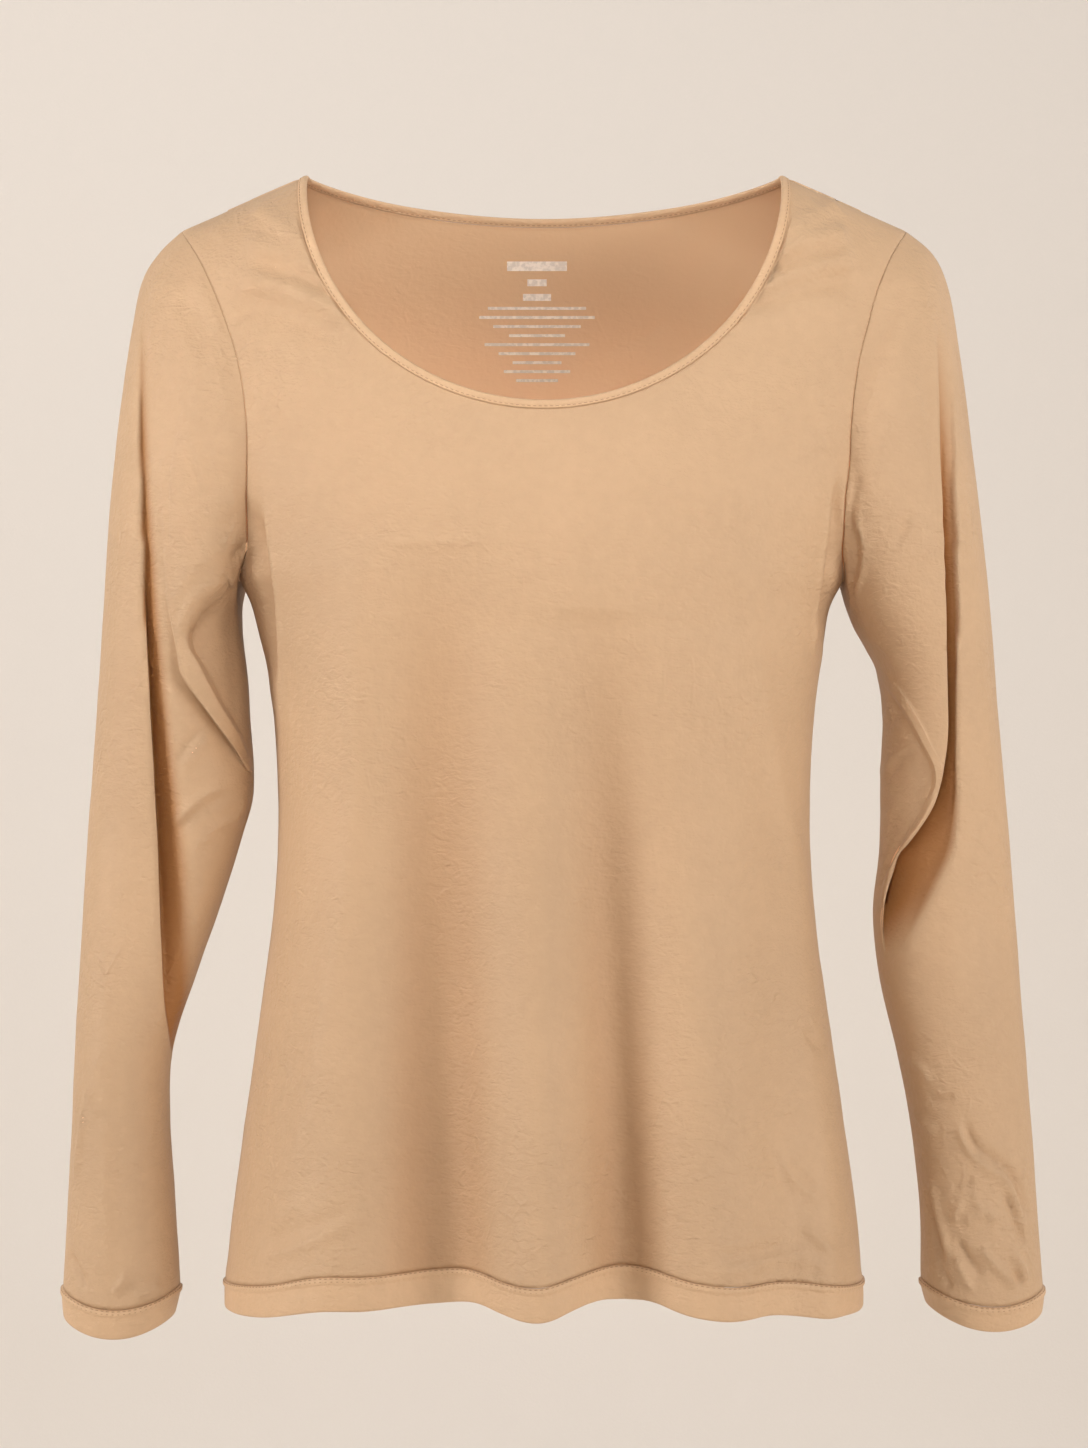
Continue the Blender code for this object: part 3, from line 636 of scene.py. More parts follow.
RIGHT_SLEEVE_CREASES = (
    # the cap
    (8, -2.0, (196, -56), (186, -84), (176, -110)),
    # two short creases on the upper arm
    (1.8, -1.8, (188.5, -185), (191, -193), (194.5, -200)),
    (1.8, 1.6, (191.5, -184), (194, -192), (197.5, -199)),
    (1.8, 1.6, (199, -205), (204, -208), (209, -213)),
    # the soft fold beside the armhole
    (3.5, -1.6, (168, -164), (165, -180), (163, -192)),
    (2.6, -2.8, (160, -184), (165.5, -199), (167, -213), (164.5, -229)),
    (2.4, 1.8, (166, -188), (171.5, -203), (171, -216), (169, -233)),
    # the front's seamed edge under the elbow
    (2.0, 1.6, (172, -250), (185, -258), (194, -273)),
    (1.6, 1.4, (213, -330), (207.5, -345), (196, -364), (187, -384), (184, -404)),
    (1.3, -1.8, (209.8, -335), (202.6, -351), (194.5, -362), (187, -377), (183.5, -388),
     (181.5, -402)),
    # creases on the far half
    (2.0, -1.8, (194, -291), (188, -299), (183, -307)),
    (2.2, 1.8, (204, -309), (194, -315), (184, -326)),
    (2.0, -1.4, (203, -313), (193, -320), (186, -331)),
    (1.8, 1.4, (188, -330), (192, -342), (186, -352)),
    # creases below the elbow
    (1.8, 1.6, (181.5, -428), (185, -436), (188, -442)),
    (7, 1.2, (222, -380), (221, -420), (222, -460)),
    (2.0, 2.4, (198, -479), (206, -487), (210, -494)),
    (2.0, -2.4, (207, -502), (216, -503), (222, -500)),
    (2.0, 2.4, (199, -510), (206, -515), (213, -522)),
    (2.2, 3.0, (222, -511), (231, -531), (250, -547), (261, -576)),
    (2.2, -3.0, (226, -511), (234, -528), (253, -543), (264, -572)),
    # creases above the cuff
    (2.0, 2.7, (210, -545), (214, -564), (221, -592)),
    (2.0, -3.3, (207, -548), (211, -568), (217, -596)),
    (1.8, 2.4, (231, -555), (238, -562), (247, -568)),
    (1.8, -2.4, (220, -551), (227, -548), (233, -547)),
    (1.8, 2.4, (220.5, -567), (224, -562), (227, -558)),
    (1.8, 2.4, (227, -569), (233, -565), (238, -563)),
    (2.0, 3.3, (233, -579), (246, -594), (258, -605)),
    (2.0, -3.3, (223, -577), (229, -587), (238, -599)),
    (1.8, 2.7, (222, -587), (228, -599), (232, -606)),
    (1.8, -2.4, (213, -592), (218, -599), (221, -606)),
    (2.0, -3.3, (249, -552), (255, -565), (261, -584)),
    (2.0, 3.0, (252, -583), (259, -594), (261, -603)),
    (2.5, -2.1, (255, -594), (256, -599), (256, -603)),
)
SLEEVE_CREASES = {LEFT: LEFT_SLEEVE_CREASES, RIGHT: RIGHT_SLEEVE_CREASES}


class TopSettings(bpy.types.PropertyGroup):
    """Sizes and colours that a user would change."""

    cloth: bpy.props.FloatProperty(
        name="Cloth thickness", description="How thick the knit is",
        default=0.001, min=0.0005, max=0.003, unit="LENGTH",
    )
    crumple: bpy.props.FloatProperty(
        name="Crumple", description="How far the random crumple of the knit rises",
        default=0.0001, min=0.0, max=0.002, unit="LENGTH", precision=5,
    )
    crease: bpy.props.FloatProperty(
        name="Crease depth", description="A factor on every crease placed by hand",
        default=1.0, min=0.0, max=2.0,
    )
    seam_depth: bpy.props.FloatProperty(
        name="Seam depth", description="How far the cloth turns in at a seam",
        default=0.00025, min=0.0, max=0.002, unit="LENGTH", precision=5,
    )
    stitch_length: bpy.props.FloatProperty(
        name="Stitch length", description="Length of one stitch",
        default=0.0021, min=0.001, max=0.005, unit="LENGTH", precision=5,
    )
    stitch_pitch: bpy.props.FloatProperty(
        name="Stitch pitch", description="Distance from one stitch to the next",
        default=0.003, min=0.0015, max=0.008, unit="LENGTH", precision=5,
    )
    thread: bpy.props.FloatProperty(
        name="Thread width", description="Width of the sewing thread",
        default=0.00055, min=0.0002, max=0.0015, unit="LENGTH", precision=5,
    )
    knit_colour: bpy.props.FloatVectorProperty(
        name="Knit colour", description="Base colour of the body and the sleeves",
        default=(0.56, 0.37, 0.221), min=0.0, max=1.0, subtype="COLOR",
    )
    thread_colour: bpy.props.FloatVectorProperty(
        name="Thread colour", description="Base colour of the sewing thread",
        default=(0.40, 0.23, 0.12), min=0.0, max=1.0, subtype="COLOR",
    )
    print_colour: bpy.props.FloatVectorProperty(
        name="Print colour", description="Base colour of the plain bars inside the back neck",
        default=(0.95, 0.86, 0.76), min=0.0, max=1.0, subtype="COLOR",
    )


class Column:
    """A smooth curve through one column of a table, read at any height or position."""

    def __init__(self, keys, values):
        order = np.argsort(keys)
        self.keys = np.asarray(keys, float)[order]
        self.values = np.asarray(values, float)[order]
        steps = np.diff(self.keys)
        rises = np.diff(self.values) / steps
        self.slopes = np.empty_like(self.values)
        self.slopes[0] = rises[0]
        self.slopes[-1] = rises[-1]
        weights = steps[1:] + steps[:-1]
        self.slopes[1:-1] = (rises[:-1] * steps[1:] + rises[1:] * steps[:-1]) / weights

    def __call__(self, at):
        at = np.clip(at, self.keys[0], self.keys[-1])
        low = np.clip(np.searchsorted(self.keys, at) - 1, 0, len(self.keys) - 2)
        step = self.keys[low + 1] - self.keys[low]
        part = (at - self.keys[low]) / step
        back = 1 - part
        return (
            self.values[low] * back**2 * (1 + 2 * part)
            + self.values[low + 1] * part**2 * (3 - 2 * part)
            + self.slopes[low] * step * part * back**2
            - self.slopes[low + 1] * step * part**2 * back
        )


def columns(table):
    """One Column for each column after the first, which holds the keys."""
    rows = list(zip(*table))
    return [Column(rows[0], values) for values in rows[1:]]


BODY_LEFT, BODY_RIGHT, BODY_FRONT, BODY_BACK = columns(BODY)
ARMHOLE_LEFT, ARMHOLE_RIGHT = columns(ARMHOLE)
HEM_FRONT, HEM_BACK = columns(HEM_SEAM)


def smoothstep(part):
    part = np.clip(part, 0, 1)
    return part * part * (3 - 2 * part)


def unit(vectors):
    return vectors / np.maximum(np.linalg.norm(vectors, axis=-1, keepdims=True), TINY)


# ---------------------------------------------------------------- the body's form


def shoulder_height(x):
    """The ridge over the shoulders, which goes on rising towards the neck."""
    slope = (TIP_HEIGHT - NECK_TOP) / (TIP_HALF_WIDTH - NECK_HALF_WIDTH)
    return NECK_TOP + slope * (np.abs(x) - NECK_HALF_WIDTH)


def form_half_width(x, z):
    """Half the full form's width, on the side that x lies on."""
    return np.where(x < 0, BODY_LEFT(z), BODY_RIGHT(z))


def panel_half_width(side, z):
    """Half the body's width at its seams: the armhole above, the side seam below."""
    armhole, body = (ARMHOLE_LEFT, BODY_LEFT) if side < 0 else (ARMHOLE_RIGHT, BODY_RIGHT)
    return np.where(z > ARMPIT_HEIGHT, armhole(z), body(z))


def fold_depth(face, x, z):
    """How far a panel's soft folds stand out from its plain form."""
    total = np.zeros_like(x)
    for _, hem_x, top_x, top_height, half_width, rise in FOLDS[face]:
        fall = np.maximum((top_height - z) / (top_height - HEM_LEVEL), 0)
        centre = top_x + (hem_x - top_x) * fall
        total += rise * fall**FOLD_GROWTH * np.exp(-(((x - centre) / half_width) ** 2))
    return total


def body_depth(face, x, z):
    """How far the cloth stands from the plane through both side seams."""
    depth = BODY_FRONT(z) if face == FRONT else BODY_BACK(z)
    depth = depth + fold_depth(face, x, z)
    share = np.clip(np.abs(x) / form_half_width(x, z), 0, 1)
    round_off = (1 - share**ROUND_POWER) ** (1 / ROUND_POWER)
    below = np.clip((shoulder_height(x) - z) / SHOULDER_ROUND, 0, 1)
    return depth * round_off * np.sqrt(1 - (1 - below) ** 2)


def body_points(face, x, z):
    return np.stack([x, face * (SEAM_GAP / 2 + body_depth(face, x, z)), z], axis=-1)


def body_normals(face, x, z):
    """Outward directions of the body's cloth."""
    reach = NORMAL_REACH
    x = np.sign(x) * np.minimum(np.abs(x), form_half_width(x, z) - 2 * reach)
    z = np.minimum(z, shoulder_height(x) - 2 * reach)
    across = (body_depth(face, x + reach, z) - body_depth(face, x - reach, z)) / (2 * reach)
    up = (body_depth(face, x, z + reach) - body_depth(face, x, z - reach)) / (2 * reach)
    return unit(np.stack([-across, np.full_like(across, face), -up], axis=-1))


def panel_top(face, share):
    """A panel's upper edge: the neckline between the shoulder seams."""
    out = np.abs(share)
    turn = np.clip(out / NECK_SHARE, 0, 1) * np.pi / 2
    if face == FRONT:
        drop = np.cos(turn) ** 2
        neck_x = NECK_HALF_WIDTH * np.sqrt(1 - drop**2)
        neck_z = NECK_TOP - FRONT_NECK_DROP * drop
    else:
        neck_x = NECK_HALF_WIDTH * np.sin(turn)
        rise = NECK_TOP - BACK_NECK_LEVEL
        neck_z = BACK_NECK_LEVEL + rise * np.sin(turn) ** BACK_NECK_POWER
    along = np.clip((out - NECK_SHARE) / (1 - NECK_SHARE), 0, 1)
    shoulder_x = NECK_HALF_WIDTH + (TIP_HALF_WIDTH - NECK_HALF_WIDTH) * along
    on_neck = out <= NECK_SHARE
    x = np.where(on_neck, neck_x, shoulder_x)
    z = np.where(on_neck, neck_z, shoulder_height(shoulder_x))
    return np.sign(share) * x, z


def panel_shares():
    """Column positions, with one exactly at the neck point on each side."""
    neck = round(PANEL_HALF_COLUMNS * NECK_SHARE)
    half = np.concatenate(
        [
            np.linspace(0, NECK_SHARE, neck + 1)[1:],
            np.linspace(NECK_SHARE, 1, PANEL_HALF_COLUMNS - neck + 1)[1:],
        ]
    )
    return np.concatenate([-half[::-1], [0.0], half])


def armhole_heights():
    """Row heights down the armhole, closer together at the shoulder and the armpit."""
    part = (1 - np.cos(np.linspace(0, np.pi, ARMHOLE_ROWS + 1))) / 2
    return TIP_HEIGHT + (ARMPIT_HEIGHT - TIP_HEIGHT) * part


def on_each_side(shares, values):
    """Each column's value for its own side of the body."""
    return np.where(shares < 0, *(values(side) for side in (LEFT, RIGHT)))


def upper_grid(face, shares, round_x):
    """The rows from the neckline and the shoulders down to the armpits."""
    top_x, top_z = panel_top(face, shares)
    heights = armhole_heights()
    part = ((heights - TIP_HEIGHT) / (ARMPIT_HEIGHT - TIP_HEIGHT))[:, None]
    spread = np.sin(part * np.pi / 2)
    flat_x = np.sin(shares * EVEN_TURN) / np.sin(EVEN_TURN)
    level_x = flat_x + (round_x - flat_x) * part**3
    armpit = on_each_side(shares, lambda side: panel_half_width(side, ARMPIT_HEIGHT))
    armhole = on_each_side(shares, lambda side: panel_half_width(side, heights)[:, None])
    x = top_x + (level_x * armpit - top_x) * spread
    edge_x = TIP_HALF_WIDTH + (armpit - TIP_HALF_WIDTH) * spread
    x = x + (armhole - edge_x) * np.sign(shares) * shares**2
    near_neck = np.sin(np.pi * np.abs(shares) ** FLARE_POWER) ** 2
    x = x + NECK_FLARE * np.sign(shares) * near_neck * np.sin(np.pi * part**0.5)
    return x, top_z + (ARMPIT_HEIGHT - top_z) * part


def lower_grid(face, shares, round_x):
    """The rows below the armpits, down to the hem's seam."""
    hem = (HEM_FRONT if face == FRONT else HEM_BACK)(round_x * BODY_LEFT(HEM_LEVEL))
    part = np.arange(1, BODY_ROWS + 1)[:, None] / BODY_ROWS
    z = ARMPIT_HEIGHT + (hem - ARMPIT_HEIGHT) * part
    return round_x * form_half_width(shares, z), z


def panel_grid(face):
    """The x and z of a panel's points, a row for each level and a column for each share."""
    shares = panel_shares()
    round_x = np.sin(shares * np.pi / 2)
    upper, lower = (grid(face, shares, round_x) for grid in (upper_grid, lower_grid))
    return [np.concatenate(halves) for halves in zip(upper, lower)]


def near_armpit():
    """How close each armhole row is to the armpit, where the sleeve turns back down."""
    heights = armhole_heights()
    return smoothstep((ARMPIT_TURN - heights) / (ARMPIT_TURN - ARMPIT_HEIGHT))[:, None]


def seam_frame(face, side):
    """Points, outward normals and sleeve-ward directions down one armhole."""
    z = armhole_heights()
    x = side * panel_half_width(side, z)
    points = body_points(face, x, z)
    points[[0, -1], 1] = 0.0
    normals = body_normals(face, x, z)
    normals[[0, -1], 1] = 0.0
    normals = unit(normals)
    down = unit(np.gradient(points, axis=0))
    down[0] = (0.0, face, 0.0)
    down[-1] = (0.0, -face, 0.0)
    away = unit(np.cross(down, normals) * face * side)
    return points, normals, unit(away + ((side, 0, 0) - away) * near_armpit())


# ---------------------------------------------------------------- the sleeves' form


def crossing_angles(outer, inner, target):
    """Where each ring's front passes a target distance: angles from 0, outer, to pi."""
    low = np.zeros(len(outer))
    high = np.full(len(outer), np.pi)
    for _ in range(KNOT_HALVINGS):
        middle = (low + high) / 2
        part = (1 - np.cos(middle)) / 2
        spot = outer + (inner - outer) * part[:, None]
        before = spot[:, 0] > target(spot[:, 1])
        low = np.where(before, middle, low)
        high = np.where(before, high, middle)
    return low


def sleeve_angles(outer, inner, lines, even):
    """The angle of every front column on every ring, with columns along the folds."""
    edges = [crossing_angles(outer, inner, line) for line in lines]
    knots = [np.zeros(len(outer))]
    for step, edge in enumerate(edges):
        floor = knots[-1] + KNOT_GAP
        ceiling = np.pi - KNOT_GAP * (len(edges) - step)
        knots.append(np.clip(edge, floor, ceiling))
    knots.append(np.full(len(outer), np.pi))
    warped = []
    for start, end, count in zip(knots[:-1], knots[1:], SLEEVE_FRONT_SPANS):
        for step in range(count):
            warped.append(start + (end - start) * step / count)
    warped.append(knots[-1])
    warped = np.array(warped).T
    plain = np.linspace(0, np.pi, warped.shape[1])
    return plain + (warped - plain) * even[:, None]


def pleat_depth(pleat, distance, z):
    """How far the pleat pushes the sleeve's front back."""
    edge, foot, far, depth, _, lip = (column(z) for column in pleat)
    fall = smoothstep((edge - distance) / (edge - foot))
    left = 1 - np.clip((distance - foot) / (far - foot), 0, 1)
    return depth * fall * ((1 - lip) * left**2 + lip * smoothstep(left / LIP_RUN))


def flap_lift(flap, distance, z):
    """The raised strip beside the seam, which tilts up, and the dip in front of it."""
    edge, rise, dip, tilt = (column(z) for column in flap)
    step = smoothstep((edge - distance) / FLAP_RUN)
    rise = rise + tilt * np.clip((edge - distance) / TILT_RUN, 0, 1)
    return rise * step - dip * (1 - step) * np.exp(-(((distance - edge) / VALLEY_RUN) ** 2))


def lean_over(pleat, distance, z):
    """How far the cloth leans over the pleat at its edge, and away from it at the foot."""
    edge, foot, far, _, lean, _ = (column(z) for column in pleat)
    fall = smoothstep((edge - distance) / (edge - foot))
    before = smoothstep(1 - np.abs(distance - edge) / LEAN_RUN)
    after = smoothstep(1 - np.abs(foot - distance) / LEAN_RUN)
    return np.sign(edge - far) * lean * (before * (1 - fall) - LEAN_UNDER * after * fall)


def ring_angles(side, outer, inner, folds, settle):
    """The angles of every ring's columns: first the front, which follows the folds."""
    pleat, flap, tuck = folds
    lines = list(pleat[:3] if side == LEFT else pleat[2::-1])
    lines += [flap[0], tuck[0], lambda height: tuck[0](height) - TUCK_RUN]
    folded = smoothstep((outer[:, 1] - FOLDS_END[side]) / FOLDS_FADE)
    front = sleeve_angles(outer, inner, lines, settle * folded)
    back = np.linspace(np.pi, 2 * np.pi, SLEEVE_BACK_COLUMNS + 1)[1:-1]
    return np.concatenate([front, np.broadcast_to(back, (len(outer), len(back)))], axis=1)


def front_folds(folds, distance, z):
    """How far the pleat alone and all the folds push a sleeve's front back."""
    pleat, flap, (tuck_edge, tuck_depth) = folds
    pleated = pleat_depth(pleat, distance, z)
    tucked = smoothstep((tuck_edge(z) - distance) / TUCK_RUN)
    pushed = np.maximum(pleated, np.maximum(tuck_depth(z), 0) * tucked)
    return pleated, pushed - flap_lift(flap, distance, z) * (1 - tucked)


def sleeve_rings(side, table, *fold_tables):
    """A grid of points round a sleeve: a row for each ring, from the armhole down."""
    folds = [columns(rows) for rows in fold_tables]
    last = len(table) - 1
    at = np.linspace(0, last, last * SLEEVE_RINGS_PER_STATION + 1)
    curves = [Column(np.arange(last + 1), values)(at) for values in zip(*table)]
    outer, inner = np.stack(curves[:2], axis=-1), np.stack(curves[2:4], axis=-1)
    bow, front, back = (curve[:, None] for curve in curves[4:])
    settle = smoothstep(at / FOLDS_SETTLE)
    angles = ring_angles(side, outer, inner, folds, settle)
    turn = np.sin(angles)
    in_front = turn > TINY
    spot = outer[:, None] + (inner - outer)[:, None] * ((1 - np.cos(angles)) / 2)[..., None]
    distance = spot[..., 0] - bow * turn**2
    z = spot[..., 1]
    round_off = (1 - np.abs(np.cos(angles)) ** ROUND_POWER) ** (1 / ROUND_POWER)
    fade = np.where(in_front, settle[:, None], 0)
    pleated, pushed = front_folds(folds, distance, z)
    y = np.where(in_front, -front, back) * round_off
    y = y + pushed * np.clip(round_off * FOLD_FADE, 0, 1) * fade
    low = smoothstep((at - DIP_STARTS) / (last - DIP_STARTS))[:, None]
    z = z - low * np.where(in_front, CUFF_FRONT_DIP, CUFF_BACK_DIP) * turn**2
    distance = distance - lean_over(folds[0], distance, z) * fade
    # painted shade, rising with the pleat's depth
    painted_shade = smoothstep(pleated / PAINTED_SHADE_DEPTHS[side]) * fade
    return np.stack([side * distance, y, z], axis=-1), at, painted_shade


def armhole_loop(side):
    """The whole armhole from the shoulder, down the front and up the back."""
    front = seam_frame(FRONT, side)
    back = seam_frame(BACK, side)
    return [np.concatenate([f, b[-2:0:-1]]) for f, b in zip(front, back)]


# ---------------------------------------------------------------- fine relief


def crease_route(route):
    """A smooth line of short steps through a crease's points."""
    keys = np.arange(len(route))
    at = np.linspace(0, keys[-1], CREASE_STEPS * keys[-1] + 1)
    return np.stack([Column(keys, values)(at) for values in zip(*route)], axis=-1)


def crease_relief(creases, x, z):
    """How far the creases of a table lift the cloth at each place seen from the front."""
    total = np.zeros_like(x)
    for half_width, rise, *route in creases:
        line = crease_route(route)
        reach = CREASE_SPREAD * half_width
        low, high = line.min(axis=0) - reach, line.max(axis=0) + reach
        near = (x > low[0]) & (x < high[0]) & (z > low[1]) & (z < high[1])
        spot = np.stack([x[near], z[near]], axis=-1)
        best = np.full(len(spot), np.inf)
        along = np.zeros(len(spot))
        for step, (start, end) in enumerate(zip(line[:-1], line[1:])):
            run = end - start
            share = np.clip(((spot - start) @ run) / (run @ run), 0, 1)
            gap = np.linalg.norm(spot - start - share[:, None] * run, axis=-1)
            along = np.where(gap < best, (step + share) / (len(line) - 1), along)
            best = np.minimum(gap, best)
        taper = smoothstep(np.minimum(along, 1 - along) / CREASE_TAPER)
        total[near] += rise * taper * np.exp(-((best / half_width) ** 2))
    return total


def crumple(points, seed):
    """A soft random field, from about -1 to 1, on points in millimetres."""
    rng = np.random.default_rng(seed)
    total = np.zeros(points.shape[:-1])
    for _ in range(CRUMPLE_WAVES):
        length = rng.uniform(*CRUMPLE_LENGTHS)
        heading = unit(rng.normal(size=3) * CRUMPLE_GRAIN)
        total += np.sin(points @ heading * 2 * np.pi / length + rng.uniform(0, 2 * np.pi))
    return total / np.sqrt(CRUMPLE_WAVES)


def grid_normals(points, side, closed=False):
    """Outward directions on a grid of rows; side turns them round."""
    if closed:
        around = np.roll(points, -1, axis=1) - np.roll(points, 1, axis=1)
    else:
        around = np.gradient(points, axis=1)
    down = np.gradient(points, axis=0)
    return unit(np.cross(around, down)) * side


def edge_distance(points, axis, last):
    """How far each point lies from one edge of the grid, along its own line."""
    lined = np.flip(points, axis=axis) if last else points
    steps = np.linalg.norm(np.diff(lined, axis=axis), axis=-1)
    start = np.zeros_like(np.take(steps, [0], axis=axis))
    run = np.concatenate([start, np.cumsum(steps, axis=axis)], axis=axis)
    return np.flip(run, axis=axis) if last else run


def insert_edge_lines(points, axis, last, shares):
    """Adds lines close to one edge, at shares of the way to the line beside it."""
    lined = np.flip(points, axis=axis) if last else points
    edge = np.take(lined, [0], axis=axis)
    beside = np.take(lined, [1], axis=axis)
    added = [edge + (beside - edge) * share for share in shares]
    rest = np.take(lined, range(1, lined.shape[axis]), axis=axis)
    lined = np.concatenate([edge, *added, rest], axis=axis)
    return np.flip(lined, axis=axis) if last else lined


# ---------------------------------------------------------------- meshes


def grid_quads(rows, width, closed):
    """Vertex numbers of a grid's quads, and the numbers of their places in a UV grid."""
    spans = width if closed else width - 1
    row, column = np.meshgrid(np.arange(rows - 1), np.arange(spans), indexing="ij")
    near = row * width + column
    side = row * width + (column + 1) % width
    quads = np.stack([near, side, side + width, near + width], axis=-1).reshape(-1, 4)
    uv_width = spans + 1
    first = row * uv_width + column
    places = np.stack([first, first + 1, first + 1 + uv_width, first + uv_width], axis=-1)
    return quads, places.reshape(-1, 4)


def grid_uv(points, closed):
    """Distances across and along the cloth, in metres, one for each place of the UV grid."""
    ring = np.concatenate([points, points[:, :1]], axis=1) if closed else points
    across = edge_distance(ring, 1, False)
    if not closed:
        across = across - across[:, across.shape[1] // 2, None]
    along = edge_distance(ring, 0, False)
    return np.stack([across, -along], axis=-1).reshape(-1, 2) * MM


def new_object(name, points, faces, uv=None, loops=None):
    """An object from points in millimetres, with its faces turned outwards."""
    mesh = bpy.data.meshes.new(name)
    mesh.from_pydata((np.asarray(points) * MM).tolist(), [], np.asarray(faces).tolist())
    if uv is not None:
        layer = mesh.uv_layers.new(name="cloth")
        layer.data.foreach_set("uv", uv[loops.reshape(-1)].reshape(-1))
    work = bmesh.new()
    work.from_mesh(mesh)
    bmesh.ops.recalc_face_normals(work, faces=work.faces)
    work.to_mesh(mesh)
    work.free()
    mesh.shade_smooth()
    thing = bpy.data.objects.new(name, mesh)
    bpy.context.scene.collection.objects.link(thing)
    return thing


def edge_pairs(rows, width, closed):
    """Neighbours along a grid's open edges: its end rows, then its end columns."""
    column = np.arange(width if closed else width - 1)
    row = np.arange(rows - 1) * width
    pairs = [(end + column, end + (column + 1) % width) for end in (0, (rows - 1) * width)]
    if not closed:
        pairs += [(row + end, row + width + end) for end in (0, width - 1)]
    return pairs


def cloth_shell(name, outer, normals, closed=False):
    """A thin wall of cloth on a grid of outer points."""
    rows, width = outer.shape[:2]
    thickness = bpy.context.scene.top_settings.cloth / MM
    inner = outer - normals * thickness
    points = np.concatenate([outer.reshape(-1, 3), inner.reshape(-1, 3)])
    quads, places = grid_quads(rows, width, closed)
    shift = rows * width
    faces = [quads, quads[:, ::-1] + shift]
    loops = [places, places[:, ::-1]]
    # The UV grid of a closed cloth has one column more, where its pattern opens
    place_pairs = edge_pairs(rows, width + closed, False)
    for (a, b), (c, d) in zip(edge_pairs(rows, width, closed), place_pairs):
        faces.append(np.stack([a, b, b + shift, a + shift], axis=-1))
        loops.append(np.stack([c, d, d, c], axis=-1))
    faces, loops = np.concatenate(faces), np.concatenate(loops)
    cloth = new_object(name, points, faces, grid_uv(outer, closed), loops)
    mark(cloth, "inside", np.repeat([0.0, 1.0], shift))
    return cloth


def mark(cloth, label, values):
    """Keeps a value for each point of the cloth, for its finish to read."""
    layer = cloth.data.attributes.new(label, "FLOAT", "POINT")
    layer.data.foreach_set("value", values)


def mark_painted_shade(cloth, painted_shade):
    """Keeps the share of painted shade that each place of the outer face gets in a fold."""
    mark(cloth, "painted_shade", np.append(painted_shade, np.zeros_like(painted_shade)))


def swept_band(name, loops):
    """A closed strip from its section's corners, each a closed loop of points."""
    rings = np.moveaxis(np.asarray(loops), 0, 1)
    rings = np.concatenate([rings, rings[:1]])
    quads, places = grid_quads(*rings.shape[:2], closed=True)
    length = len(rings) - 1
    width = rings.shape[1]
    quads = quads % (length * width)
    return new_object(name, rings[:-1].reshape(-1, 3), quads, grid_uv(rings, True), places)


def even_loop(points, count, *extras):
    """A closed loop read again at even distances, with the values that go with it."""
    ring = np.concatenate([points, points[:1]])
    run = np.concatenate([[0], np.cumsum(np.linalg.norm(np.diff(ring, axis=0), axis=-1))])
    at = np.linspace(0, run[-1], count, endpoint=False)
    read = []
    for values in (points, *extras):
        closed = np.concatenate([values, values[:1]])
        read.append(np.stack([np.interp(at, run, column) for column in closed.T], axis=-1))
    return read[0], *(unit(values) for values in read[1:]), at


def join_loops(front, back):
    """One closed loop from a front edge and a back edge that share their end points."""
    ends = (front[[0, -1]] + back[[0, -1]]) / 2
    return np.concatenate([ends[:1], front[1:-1], ends[1:], back[-2:0:-1]])


# ---------------------------------------------------------------- the pieces


def panel_relief(face, points):
    """Everything that lifts a panel's cloth from its plain form, in millimetres."""
    settings = bpy.context.scene.top_settings
    x, z = points[..., 0], points[..., 2]
    lift = settings.crease * crease_relief(PANEL_CREASES[face], x, z)
    lift = lift + settings.crumple / MM * crumple(points, CRUMPLE_SEED + face)
    to_hem = edge_distance(points, 0, True)
    gather = np.zeros_like(x)
    rng = np.random.default_rng(GATHER_SEED + face)
    for _ in range(GATHER_WAVES):
        length = rng.uniform(*GATHER_LENGTHS)
        gather += np.sin(x * 2 * np.pi / length + rng.uniform(0, 2 * np.pi))
    return lift + GATHER_RISE * gather * np.exp(-((to_hem / GATHER_REACH) ** 2))


def panel_surface(face):
    """A panel's outer points and normals, with its relief and its turned-in edges."""
    x, z = panel_grid(face)
    points = body_points(face, x, z)
    normals = body_normals(face, x, z)
    shares = panel_shares()
    on_shoulder = np.abs(shares) >= NECK_SHARE - TINY
    for side, column in ((LEFT, 0), (RIGHT, -1)):
        seam, seam_normals, away = seam_frame(face, side)
        points[: ARMHOLE_ROWS + 1, column] = seam - away * SEAM_GAP / 2
        normals[: ARMHOLE_ROWS + 1, column] = seam_normals
        points[ARMHOLE_ROWS:, column, 1] = face * SEAM_GAP / 2
        normals[ARMHOLE_ROWS:, column, 1] = 0.0
    points[0, on_shoulder, 1] = face * SEAM_GAP / 2
    normals[0, on_shoulder, 1] = 0.0
    normals = unit(normals)
    lift = panel_relief(face, points)
    from_edges = np.minimum(edge_distance(points, 1, False), edge_distance(points, 1, True))
    from_edges = np.minimum(from_edges, edge_distance(points, 0, False))
    hem_free = smoothstep(edge_distance(points, 0, True) / EDGE_SETTLE)
    fade = smoothstep(from_edges / EDGE_SETTLE) * (HEM_RELIEF + (1 - HEM_RELIEF) * hem_free)
    return points + normals * (lift * fade)[..., None], normals


def turn_in_edges(points, side, closed=False):
    """Adds lines beside the seamed edges and lets the cloth dip into each seam."""
    depth = bpy.context.scene.top_settings.seam_depth / MM
    edges = [(0, False)]
    if not closed:
        for last in (False, True):
            points = insert_edge_lines(points, 1, last, EDGE_SHARES)
            edges.append((1, last))
    normals = grid_normals(points, side, closed)
    near = np.inf
    for axis, last in edges:
        near = np.minimum(near, edge_distance(points, axis, last))
    dip = depth * np.exp(-((near / SEAM_WIDTH) ** 2))
    return points - normals * dip[..., None]


